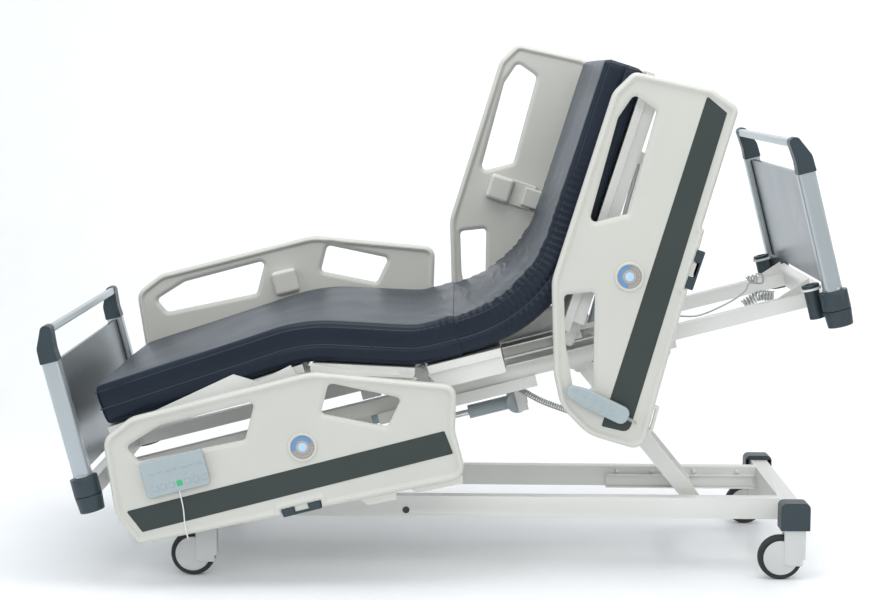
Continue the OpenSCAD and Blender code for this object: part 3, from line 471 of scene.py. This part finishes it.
def mattress_section(name, line, travels, first, last, closed_first, closed_last, tucked):
    """One closed length of the mattress; a free end is rounded over, a cut end flat, a tucked end slimmer."""
    half_y = HALF_WIDTH - 0.004
    half_h = (MATTRESS_HIGH - MATTRESS_LOW) / 2 - 0.003
    bm = bmesh.new()
    rings = []
    for i in range(first, last + 1):
        ahead = line[min(i + 1, len(line) - 1)] - line[max(i - 1, 0)]
        up = Vector((-ahead.z, 0, ahead.x)).normalized()
        to_foot = travels[i] if closed_first else math.inf
        to_head = travels[-1] - travels[i] if closed_last else math.inf
        to_end = min(to_foot, to_head)
        inset = EDGE_RADIUS - math.sqrt(max(0, EDGE_RADIUS ** 2 - max(0, EDGE_RADIUS - to_end) ** 2))
        ring = []
        for y, h in ring_points(half_y, half_h):
            out = cover_relief(travels[i], line[i], y, h, half_y, half_h)
            sideways = y / half_y if abs(y) > half_y - EDGE_RADIUS else 0
            upwards = (1 if h > 0 else -0.2) if abs(h) > half_h - EDGE_RADIUS else 0
            away = Vector((0, sideways, 0)) + up * upwards
            if away.length > 0:
                away.normalize()
            tuck = TUCK * (1 - (travels[i] - travels[first]) / TUCK_LENGTH) if tucked else 0
            shrink = inset + max(0, tuck)
            y_in = y * (1 - shrink / half_y)
            h_in = h * (1 - shrink / half_h)
            ring.append(bm.verts.new(line[i] + Vector((0, y_in, 0)) + up * h_in + away * out))
        rings.append(ring)
    count = len(rings[0])
    for a, b in zip(rings, rings[1:]):
        for k in range(count):
            bm.faces.new([a[k], a[(k + 1) % count], b[(k + 1) % count], b[k]])
    caps = [bm.faces.new(rings[0]), bm.faces.new(rings[-1][::-1])]
    for cap in caps:
        for edge in cap.edges:
            edge.smooth = False
    return from_bmesh(name, bm)


def seam_line(line, first, last, h, side, out):
    """Points of a sewn line along one side of the mattress."""
    points = []
    for i in range(first, last + 1, 3):
        ahead = line[min(i + 1, len(line) - 1)] - line[max(i - 1, 0)]
        up = Vector((-ahead.z, 0, ahead.x)).normalized()
        points.append(line[i] + up * h + Vector((0, side * (HALF_WIDTH + out), 0)))
    return points


def build_mattress():
    line = mattress_line()
    travels = [0.0]
    for a, b in zip(line, line[1:]):
        travels.append(travels[-1] + (b - a).length)
    thigh_cut = thigh.at(THIGH_CUT, CUT_HEIGHT)
    seat_cut = upper.at(HIP_CUT, CUT_HEIGHT)
    thigh_i = min(range(len(line)), key=lambda i: (line[i] - thigh_cut).length)
    seat_i = min(range(len(line)), key=lambda i: (line[i] - seat_cut).length)
    last = len(line) - 1
    spans = [
        ("legs", 0, thigh_i, "calf", "thigh", thigh.at(-0.13, CUT_HEIGHT), thigh.at(0.13, CUT_HEIGHT),
         ["mattress_calf"]),
        ("seat", thigh_i, seat_i, "thigh", "upper", thigh.at(THIGH_CUT + 0.03, CUT_HEIGHT),
         upper.at(HIP_CUT - 0.02, CUT_HEIGHT), ["mattress_thigh", "mattress_seat"]),
        ("back", seat_i, last, "carriage", "back", upper.at(HIP_CUT + 0.02, CUT_HEIGHT),
         back.at(0.30, CUT_HEIGHT), ["mattress_back"])]
    for label, first, end, body_a, body_b, start, stop, stands_for in spans:
        name = f"mattress_cover_{label}"
        tucked = label == "back"
        mesh = mattress_section(name, line, travels, first, end, first == 0, end == last, tucked)
        cover = add_piece(name, mesh, None, FABRIC)
        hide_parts(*stands_for)
        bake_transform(cover)
        for side, side_name in ((-1, "near"), (1, "far")):
            for place, h, out, radius in (("zip", -0.008, -0.0045, 0.0022), ("top", 0.040, -0.0030, 0.0012)):
                points = seam_line(line, first, end, h, side, out)
                seam = tube(f"{name}_{place}_seam_{side_name}", points, radius, None, PIPING)
                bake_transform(seam)


# ---------- side rails ----------

RAIL_T = 0.032                # thickness of a moulding
RIM_ROUND = 0.010
RIM = 0.013                   # width of the raised rim
RIM_SLOPE = 0.005
FIELD_DROP = 0.006            # how far the field lies below the rim
WINDOW_SLOPE = 0.020
WINDOW_LIP = 0.004            # half the thickness left at a window's edge
CELL = 0.004                  # grid the mouldings are cut on
DIAL_BELOW = 0.130            # rail pivot below the dial
RAILS = {"foot": (upper, -0.045), "head": (back, 0.070)}     # section, and latch along from the dial


def outer_loops(node, plane_y):
    """Closed outlines, as arrays of X-Z points, of a CAD node's flat face at plane_y."""
    bm = bmesh.new()
    bm.from_mesh(frame["nodes"][node].data)
    bmesh.ops.remove_doubles(bm, verts=bm.verts, dist=1e-5)
    flat = [f for f in bm.faces if all(abs(v.co.y - plane_y) < 1e-5 for v in f.verts)]
    chosen = set(flat)
    ahead = {}
    for face in flat:
        for loop in face.loops:
            if not any(f in chosen and f is not face for f in loop.edge.link_faces):
                ahead[loop.vert] = loop.link_loop_next.vert
    outlines = []
    while ahead:
        start = next(iter(ahead))
        spot, points = start, []
        while spot in ahead:
            points.append((spot.co.x, spot.co.z))
            spot = ahead.pop(spot)
        outlines.append(np.array(points))
    bm.free()
    return outlines


def inside_distance(points, outline):
    """Signed distance of points to an outline, positive inside."""
    a, b = outline, np.roll(outline, -1, axis=0)
    far = np.full(len(points), 1e9)
    inside = np.zeros(len(points), bool)
    for p, q in zip(a, b):
        d = q - p
        t = np.clip(((points - p) @ d) / max(1e-12, d @ d), 0, 1)
        far = np.minimum(far, np.hypot(*(points - p - t[:, None] * d).T))
        crosses = (p[1] > points[:, 1]) != (q[1] > points[:, 1])
        x = (q[0] - p[0]) * (points[:, 1] - p[1]) / (q[1] - p[1] + 1e-15) + p[0]
        inside ^= crosses & (points[:, 0] < x)
    return np.where(inside, far, -far)


def ease(t):
    t = np.clip(t, 0, 1)
    return t * t * (3 - 2 * t)


def rail_half_thickness(from_rim, from_window):
    """Half the moulding's thickness: a rounded rim, a recessed field, and slopes into the windows."""
    full = RAIL_T / 2
    rounding = np.maximum(0, RIM_ROUND ** 2 - np.maximum(0, RIM_ROUND - from_rim) ** 2)
    edge = full - RIM_ROUND + np.sqrt(rounding)
    field = full - FIELD_DROP * ease((from_rim - RIM) / RIM_SLOPE)
    slope = WINDOW_LIP + (full - WINDOW_LIP) * np.clip(from_window / WINDOW_SLOPE, 0, 1)
    return np.minimum(np.minimum(edge, field), slope)


def rail_shell(node, side, middle_y):
    """Moulding of a rail, cut on a fine grid from the CAD outline and windows."""
    loops = outer_loops(node, side * (abs(middle_y) + RAIL_T / 2))
    loops.sort(key=lambda l: -np.ptp(l[:, 0]) * np.ptp(l[:, 1]))
    outline, rest = loops[0], loops[1:]
    openings = [l for l in rest if is_window(node, l)]
    low, high = outline.min(0) - CELL, outline.max(0) + CELL
    nx, nz = (np.ceil((high - low) / CELL).astype(int) + 1)
    gx, gz = np.meshgrid(low[0] + CELL * np.arange(nx), low[1] + CELL * np.arange(nz), indexing="ij")
    grid = np.stack([gx.ravel(), gz.ravel()], 1)
    rim = inside_distance(grid, outline)
    window = np.full(len(grid), 1e9)
    for opening in openings:
        window = np.minimum(window, -inside_distance(grid, opening))
    level = np.minimum(rim, window)
    bm = bmesh.new()
    made = {}

    def corner(index, face_side):
        key = (index, face_side)
        if key not in made:
            half = float(rail_half_thickness(max(rim[index], 0), max(window[index], 0)))
            made[key] = bm.verts.new((grid[index][0], middle_y + face_side * half, grid[index][1]))
        return made[key]

    def crossing(i, j, face_side):
        key = (min(i, j), max(i, j), face_side)
        if key not in made:
            t = level[i] / (level[i] - level[j])
            spot = grid[i] * (1 - t) + grid[j] * t
            r = rim[i] * (1 - t) + rim[j] * t
            w = window[i] * (1 - t) + window[j] * t
            half = float(rail_half_thickness(max(r, 0), max(w, 0)))
            made[key] = bm.verts.new((spot[0], middle_y + face_side * half, spot[1]))
        return made[key]

    for ix in range(nx - 1):
        for iz in range(nz - 1):
            cell = [ix * nz + iz, (ix + 1) * nz + iz, (ix + 1) * nz + iz + 1, ix * nz + iz + 1]
            if all(level[c] <= 0 for c in cell):
                continue
            rows, cut = [], []
            for k in range(4):
                here, after = cell[k], cell[(k + 1) % 4]
                if level[here] > 0:
                    rows.append((here, None))
                if (level[here] > 0) != (level[after] > 0):
                    rows.append((here, after))
                    cut.append((here, after, level[here] > 0))
            if len(rows) < 3 or len(cut) > 2:
                continue
            faces = [[corner(a, s) if b is None else crossing(a, b, s) for a, b in rows] for s in (-1, 1)]
            bm.faces.new(faces[0])
            bm.faces.new(faces[1][::-1])
            if len(cut) == 2:
                p, q = cut
                bm.faces.new([crossing(p[0], p[1], -1), crossing(q[0], q[1], -1),
                              crossing(q[0], q[1], 1), crossing(p[0], p[1], 1)])
    bmesh.ops.remove_doubles(bm, verts=bm.verts, dist=1e-6)
    name = f"{node}_shell"
    shell = add_piece(name, from_bmesh(name, bm), node, RAIL)
    sharp = shell.modifiers.new("even_shading", "WEIGHTED_NORMAL")
    sharp.keep_sharp = True
    return shell, rest


def dial_centre(which, side_name):
    place, latch = RAILS[which]
    pivot = joint_at(f"{which}_rail_level_{side_name}")
    return pivot - place.along * latch + place.up * DIAL_BELOW


def is_window(node, loop):
    """Windows lie above the dial's middle and are not the dial itself."""
    which, side_name = node.split("_")[0], node[-1]
    centre = dial_centre(which, side_name)
    place = RAILS[which][0]
    middle = Vector((loop[:, 0].mean(), 0, loop[:, 1].mean())) - Vector((centre.x, 0, centre.z))
    return middle.dot(place.up) > 0.02 and middle.length > 0.05


def dial(name, place, face_y, side, body):
    """Round inclinometer: pale bezel, dark face, blue upper arc, ticks below and a light-blue middle."""
    centre = place.origin.copy()
    centre.y = face_y
    lathe(f"{name}_bezel", centre, (0, side, 0),
          [(0.0325, 0), (0.0405, 0), (0.0405, 0.002), (0.0385, 0.0042), (0.035, 0.0048), (0.0330, 0.004),
           (0.0325, 0.001)], body, RAIL)
    lathe(f"{name}_face", centre, (0, side, 0),
          [(0.0005, 0.0002), (0.0324, 0.0002), (0.0324, 0.0012), (0.0005, 0.0012)], body, TAUPE)
    y0 = face_y + side * 0.0014
    y1 = face_y + side * 0.0019
    arc_plate(f"{name}_arc", place, (0, 0), (0.0205, 0.0300), (15, 190), y0, y1, body, BLUE)
    arc_plate(f"{name}_ring", place, (0, 0), (0.0150, 0.0165), (0, 359.9), y0, y1, body, RAIL)
    lathe(f"{name}_hub", centre + Vector((0, side * 0.0012, 0)), (0, side, 0),
          [(0.0005, 0), (0.0125, 0), (0.0125, 0.0008), (0.0110, 0.0012), (0.0005, 0.0014)],
          body, PALE_BLUE)
    for k in range(13):
        turn = 200 + k * 12
        inner = 0.0235 if k % 3 else 0.0215
        arc_plate(f"{name}_tick_{k}", place, (0, 0), (inner, 0.0300), (turn, turn + 2.2), y0, y1,
                  body, RAIL, steps=2)


def rail_fittings(which, side_name, centre, middle_y):
    """Pivot covers on the inner face, latch tab, and the hook or tabs along the lower edge."""
    place_base, latch = RAILS[which]
    place = Place(centre, place_base.along)
    side = -1 if side_name == "l" else 1
    node = f"{which}_rail_{side_name}"
    inner = middle_y - side * RAIL_T / 2
    sunk = inner + side * 0.006
    y0, y1 = sorted((sunk, inner - side * 0.027))
    soft_box(f"{node}_cover", place, (latch - 0.040, 0.034, y0), (latch + 0.040, 0.111, y1),
             0.012, node, RAIL)
    soft_box(f"{node}_pivot_block", place, (latch - 0.030, -0.146, y0), (latch + 0.030, -0.004, y1),
             0.006, node, RAIL)
    y0, y1 = sorted((sunk, inner - side * 0.0075))
    soft_box(f"{node}_cover_foot", place, (latch - 0.040, -0.040, y0), (latch + 0.040, 0.070, y1),
             0.005, node, RAIL)
    tab_low = -0.168 if which == "foot" else -0.160
    y0, y1 = sorted((middle_y - side * 0.006, middle_y + side * 0.006))
    soft_box(f"{node}_latch_tab", place, (latch - 0.0185, tab_low, y0), (latch + 0.0185, tab_low + 0.03, y1),
             0.002, node, RAIL)
    if which == "head":
        hook = [(-0.308, -0.168), (-0.308, -0.189), (-0.382, -0.193), (-0.388, -0.172),
                (-0.378, -0.172), (-0.374, -0.183), (-0.318, -0.180), (-0.318, -0.168)]
        prism(f"{node}_hook", place, hook, y0, y1, 0.002, node, RAIL)
    else:
        for a, b in ((0.110, 0.215), (0.245, 0.400)):
            tab = [(a, -0.17), (b, -0.18), (b - 0.005, -0.203), (a + 0.02, -0.198)]
            prism(f"{node}_tab_{round(a * 1000)}", place, tab, y0, y1, 0.002, node, RAIL)


def build_rail(which, side_name):
    node = f"{which}_rail_{side_name}"
    trim = f"{which}_rail_trim_{side_name}"
    side = -1 if side_name == "l" else 1
    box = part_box(node)
    outer_y = box[1].y if side > 0 else box[0].y
    middle_y = outer_y - side * RAIL_T / 2
    shell, loops = rail_shell(node, side, middle_y)
    centre = dial_centre(which, side_name)
    place = Place(centre, RAILS[which][0].along)
    field_y = outer_y - side * FIELD_DROP
    stripe = [l for l in loops if not is_window(node, l) and np.ptp(l[:, 0]) + np.ptp(l[:, 1]) > 0.3][0]
    offsets = [Vector((x, 0, z)) - place.origin for x, z in stripe]
    outline = [(offset.dot(place.along), offset.dot(place.up)) for offset in offsets]
    y0, y1 = sorted((field_y - side * 0.002, field_y + side * 0.0012))
    band = prism(f"{node}_stripe", place, outline, y0, y1, 0.0006, node, STRIPE)
    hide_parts(trim)
    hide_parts(node)
    dial(f"{node}_dial", place, field_y, side, node)
    rail_fittings(which, side_name, centre, middle_y)


# ---------- controls ----------

KEY_PITCH = 0.0225
KEY_SIZE = 0.015
KEY_BORDER = 0.001
FIRST_KEY = -0.418            # along, from the dial
KEY_ROW = -0.018              # up, from the dial
GREEN_KEY = 3                 # place of the green key in its row


def square(a, u, size):
    return [(a, u), (a + size, u), (a + size, u + size), (a, u + size)]


def build_nurse_panel():
    """Key pictures on the staff panel: a row of outlined keys, small marks and one green key."""
    place = Place(dial_centre("foot", "l"), upper.along)
    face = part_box("nurse_panel")[0].y
    sunk = face + 0.0005
    body, slot = "foot_rail_l", "nurse_panel"
    for k in range(7):
        a = FIRST_KEY + k * KEY_PITCH
        material = GREEN if k == GREEN_KEY else KEY_LINE
        outline = square(a, KEY_ROW, KEY_SIZE)
        prism(f"panel_key_{k}", place, outline, face - 0.0008, sunk, 0.0002, body, material)
        if k != GREEN_KEY:
            inner = square(a + KEY_BORDER, KEY_ROW + KEY_BORDER, KEY_SIZE - 2 * KEY_BORDER)
            prism(f"panel_key_face_{k}", place, inner, face - 0.0012, sunk, 0.0002, body, DEVICE)
        lathe(f"panel_lamp_{k}", place.at(a + KEY_SIZE / 2, 0.010, face), (0, -1, 0),
              [(0.0003, 0), (0.0016, 0), (0.0012, 0.0006), (0.0003, 0.0008)], body, KEY_LINE, steps=16)
        tip = 0.034 if k % 2 else 0.027
        picture = [(a, 0.030), (a + 0.006, 0.0285), (a + 0.014, tip), (a + 0.014, tip + 0.0015),
                   (a + 0.006, 0.030), (a, 0.0315)]
        prism(f"panel_picture_{k}", place, picture, face - 0.0008, sunk, 0.0001, body, KEY_LINE)
    knots = [place.at(-0.350, -0.033, face + 0.004), place.at(-0.352, -0.08, face + 0.002),
             place.at(-0.360, -0.13, face + 0.001), place.at(-0.362, -0.165, face + 0.006)]
    tube("panel_cable", sweep_through(knots), 0.0018, body, PAINT)


def build_handset():
    """Two rows of keys on the hand control, and the ribbed sleeve where its lead starts."""
    low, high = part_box("handset")
    centre = (low + high) / 2
    along = lie_of("handset")
    place = Place(centre, along)
    for k in range(5):
        a = -0.070 + k * 0.027
        for row, h in enumerate((0.0105, -0.0105)):
            lathe(f"handset_key_{k}_{row}", place.at(a, h * (1 - 0.05 * k), low.y), (0, -1, 0),
                  [(0.0004, 0), (0.0062, 0), (0.0060, 0.0008), (0.0052, 0.0014), (0.0004, 0.0016)],
                  "handset", DEVICE, steps=24)
    nose = place.at(0.086, 0, centre.y)
    ribs = coil([nose, nose + along * 0.03], 0.0035, 0.004)
    tube("handset_strain_relief", ribs, 0.0013, "handset", CABLE)


def build_cables():
    """Coiled and plain leads that run along the upper frame."""
    def frame_line(*spots):
        return [upper.at(*spot) for spot in spots]

    run = frame_line((0.242, -0.142, -0.05), (0.301, -0.192, -0.09), (0.374, -0.236, -0.13),
                     (0.414, -0.262, -0.15))
    tube("motor_coil", coil(run, 0.0075, 0.0072), 0.0021, "upper", CABLE)
    head = frame_line((0.935, -0.060, -0.12), (0.981, -0.045, -0.12), (1.025, -0.058, -0.11))
    tube("head_coil", coil(head, 0.013, 0.0095), 0.0028, "upper", CABLE)
    small = frame_line((0.966, 0.000, -0.08), (0.978, 0.003, -0.08), (0.992, -0.002, -0.08))
    tube("head_small_coil", coil(small, 0.010, 0.0080), 0.0022, "upper", CABLE)
    loop = frame_line((0.733, -0.035, -0.18), (0.802, -0.052, -0.16), (0.895, -0.039, -0.14),
                      (0.946, -0.022, -0.12), (0.966, -0.006, -0.10), (1.004, -0.017, -0.08),
                      (1.010, 0.006, -0.08), (0.993, 0.014, -0.08))
    tube("head_lead", sweep_through(loop), 0.0026, "upper", CABLE)


# ---------- casters ----------

WHEEL_R = 0.0625
HOOD_LOW, HOOD_TOP = 0.127, 0.145     # above the floor
STEM_LOW, RING_LOW = 0.140, 0.1425


def build_caster(end, side_name):
    wheel_low, wheel_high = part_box(f"caster_wheel_{end}_{side_name}")
    axle = (wheel_low + wheel_high) / 2
    half = (wheel_high.y - wheel_low.y) / 2
    roll, swivel = f"caster_roll_{end}_{side_name}", f"caster_swivel_{end}_{side_name}"
    wheel, fork = f"caster_wheel_{end}_{side_name}", f"caster_fork_{end}_{side_name}"
    tyre = lathe(f"{wheel}_tyre", axle, (0, 1, 0),
                 [(0.048, -half + 0.002), (0.058, -half), (0.0615, -half + 0.004), (WHEEL_R, -0.004),
                  (WHEEL_R, 0.004), (0.0615, half - 0.004), (0.058, half), (0.048, half - 0.002)],
                 roll, RUBBER)
    lathe(f"{wheel}_rim", axle, (0, 1, 0),
          [(0.006, -half + 0.003), (0.050, -half + 0.003), (0.050, half - 0.003), (0.006, half - 0.003)],
          roll, DISC)
    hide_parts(wheel)
    stem = joint_at(f"caster_swivel_{end}_{side_name}")
    place = Place(Vector((stem.x, 0, 0)), (1, 0, 0))
    plate = [(-0.029, 0.046), (-0.029, 0.150), (0.031, 0.150), (0.031, 0.060), (0.024, 0.058),
             (0.024, 0.040), (-0.018, 0.040)]
    for sign, letter in ((-1, "a"), (1, "b")):
        skin = axle.y + sign * (half + 0.0005)
        cover = lathe(f"{fork}_disc_{letter}", Vector((axle.x, skin, axle.z)), (0, sign, 0),
                      [(0.001, 0), (0.0485, 0), (0.0485, 0.0025), (0.046, 0.0045), (0.001, 0.0055)],
                      swivel, DISC)
        y0, y1 = sorted((skin + sign * 0.0005, skin + sign * 0.0075))
        prism(f"{fork}_plate_{letter}", place, plate, y0, y1, 0.003, swivel, DISC)
    y0, y1 = stem.y - half - 0.006, stem.y + half + 0.006
    soft_box(f"{fork}_hood", place, (-0.029, HOOD_LOW, y0), (0.031, HOOD_TOP, y1), 0.004, swivel, DISC)
    lathe(f"{fork}_ring", Vector((stem.x, stem.y, RING_LOW)), (0, 0, 1),
          [(0.0115, 0), (0.0175, 0), (0.0175, 0.0040), (0.0115, 0.0040)], swivel, ACCENT)
    lathe(f"{fork}_stem", Vector((stem.x, stem.y, STEM_LOW)), (0, 0, 1),
          [(0.0005, 0), (0.0108, 0), (0.0108, 0.04), (0.0005, 0.04)], swivel, STEEL)
    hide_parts(fork)


# ---------- end boards ----------


def build_board_details():
    """Dark edge strips on the end boards' panels, and a pale ring on each pole socket."""
    for end in ("foot", "head"):
        panel_low, panel_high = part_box(f"{end}_board_panel")
        place = Place((panel_low + panel_high) / 2, upper.along)
        half_y = (panel_high.y - panel_low.y) / 2
        for sign, label in ((-1, "near"), (1, "far")):
            y0, y1 = sorted((sign * (half_y - 0.006), sign * (half_y - 0.0005)))
            soft_box(f"{end}_board_trim_{label}", place, (-0.009, -0.154, y0), (0.009, 0.154, y1),
                     0.002, f"{end}_board", DARK)
    for mount, label in zip(frame["record"]["mounts"], ("near", "far")):
        top = Vector(mount["pos_m"]) + upper.up * 0.030
        lathe(f"socket_ring_{label}", top, upper.up,
              [(0.0245, 0), (0.0275, 0), (0.0275, 0.006), (0.0245, 0.006)], "upper", PAINT)


# ---------- carried-over CAD nodes ----------

RAIL_ARMS = [f"{end}_rail_arm_{side}" for end in ("head", "foot") for side in ("l", "r")]
RAIL_LATCHES = [f"{end}_rail_latch_{side}" for end in ("head", "foot") for side in ("l", "r")]
FINISH = {
    PAINT: ["base_frame", "roller_channels", "upper_frame", "head_lift_arms", "foot_lift_arms", "back_frame",
            "backrest_carriage", "seat_panel", "back_panel", "thigh_panel", "calf_panel", *RAIL_ARMS],
    SLATE: ["base_covers", "corner_bumpers", "pole_sockets", "head_board_grips", "foot_board_grips",
            *RAIL_LATCHES],
    ALUMINIUM: ["head_board_frame", "foot_board_frame"],
    LAMINATE: ["head_board_panel", "foot_board_panel"],
    STEEL: ["foot_lift_shaft", "head_lift_shaft", "head_lift_rod", "foot_lift_rod", "knee_rod", "back_rod"],
    DEVICE: ["lift_actuators", "knee_actuator", "back_actuator", "handset", "nurse_panel"],
    DARK: ["lift_rollers"]}
EDGE = {"corner_bumpers": 0.006, "head_board_grips": 0.006, "foot_board_grips": 0.006, "base_covers": 0.004,
        "handset": 0.005, "nurse_panel": 0.003, "base_frame": 0.003, "upper_frame": 0.002}
EDGE.update({latch: 0.003 for latch in RAIL_LATCHES})
FINE_EDGE = 0.0012


def finish_cad_nodes():
    for material, names in FINISH.items():
        for name in names:
            node = frame["nodes"][name]
            node.data.materials.clear()
            node.data.materials.append(material)
            weld = node.modifiers.new("weld", "WELD")
            weld.merge_threshold = 1e-5
            merge = node.modifiers.new("merge_flats", "DECIMATE")
            merge.decimate_type = "DISSOLVE"
            merge.angle_limit = math.radians(1)
            round_edges(node, EDGE.get(name, FINE_EDGE), 3)


# ---------- studio ----------


def build_studio():
    """Pale seamless floor and backdrop, soft lights from above and in front, cool light from the left."""
    reach, bend, rise = 9.0, 1.6, 6.0
    front_y, back_y = -8.0, cad_high.y + 3.2
    profile = [(front_y, 0.0), (back_y - bend, 0.0)]
    for degrees in range(6, 91, 6):
        turn = math.radians(degrees)
        profile.append((back_y - bend + bend * math.sin(turn), bend - bend * math.cos(turn)))
    profile.append((back_y, rise))
    bm = bmesh.new()
    rows = [[bm.verts.new((x, y, z)) for y, z in profile] for x in (-reach, reach)]
    for k in range(len(profile) - 1):
        bm.faces.new([rows[0][k], rows[1][k], rows[1][k + 1], rows[0][k + 1]])
    mesh = bpy.data.meshes.new("floor")
    bm.to_mesh(mesh)
    bm.free()
    floor = bpy.data.objects.new("floor", mesh)
    bpy.context.scene.collection.objects.link(floor)
    paper = node_material("studio_floor", (0.90, 0.91, 0.92), 0.5, grain=60, bump=0.02, vary=0.01, wear=0)
    mesh.materials.append(paper)
    mesh.polygons.foreach_set("use_smooth", [True] * len(mesh.polygons))

    world = bpy.data.worlds.new("studio")
    bpy.context.scene.world = world
    world.use_nodes = True
    sky = world.node_tree.nodes["Background"]
    sky.inputs["Color"].default_value = (0.93, 0.965, 1.0, 1)
    sky.inputs["Strength"].default_value = 0.50

    def area(name, location, aim, size, power, colour):
        light = bpy.data.lights.new(name, "AREA")
        light.shape = "RECTANGLE"
        light.size, light.size_y = size
        light.energy = power
        light.color = colour
        holder = bpy.data.objects.new(name, light)
        holder.location = location
        holder.rotation_euler = (Vector(aim) - Vector(location)).to_track_quat("-Z", "Y").to_euler()
        bpy.context.scene.collection.objects.link(holder)

    # place, what it points at, size, power in watts and colour of each light
    area("overhead", (0.2, -0.7, 4.6), (0, 0.1, 0), (5.0, 3.6), 165, (1, 1, 1))
    area("backdrop_glow", (3.0, 1.8, 3.6), (3.0, back_y, 1.4), (4.0, 2.0), 22, (1, 1, 1))
    area("left_cool", (-4.2, -2.2, 2.6), (0, 0, 0.6), (2.5, 2.5), 48, (0.86, 0.94, 1.0))
    area("right_fill", (4.2, -2.6, 2.2), (0.3, 0, 0.6), (2.5, 2.5), 30, (1, 0.99, 0.97))
    area("front_fill", (0.0, -6.6, 3.6), (0, 0, 0.7), (5.0, 2.5), 135, (1, 1, 1))


CAMERA_SPOT = (0.033, -5.4689, 1.3917)
CAMERA_TURN = 0.0088          # radians, to the left
CAMERA_DIP = 0.1186           # below level
CAMERA_ROLL = 0.0056
CAMERA_LENS = 75.99           # on a 36 mm sensor


def build_camera():
    camera = bpy.data.cameras.new("camera")
    camera.sensor_width = 36.0
    camera.lens = CAMERA_LENS
    holder = bpy.data.objects.new("camera", camera)
    holder.matrix_world = (Matrix.Translation(CAMERA_SPOT) @ Matrix.Rotation(CAMERA_TURN, 4, "Z")
                           @ Matrix.Rotation(math.pi / 2 - CAMERA_DIP, 4, "X")
                           @ Matrix.Rotation(CAMERA_ROLL, 4, "Z"))
    bpy.context.scene.collection.objects.link(holder)
    bpy.context.scene.camera = holder
    bpy.context.scene.view_settings.view_transform = "Standard"


build_mattress()
for rail_end in ("foot", "head"):
    for rail_side in ("l", "r"):
        build_rail(rail_end, rail_side)
build_nurse_panel()
build_handset()
build_cables()
for caster_end in ("head", "foot"):
    for caster_side in ("l", "r"):
        build_caster(caster_end, caster_side)
build_board_details()
finish_cad_nodes()
build_studio()
build_camera()
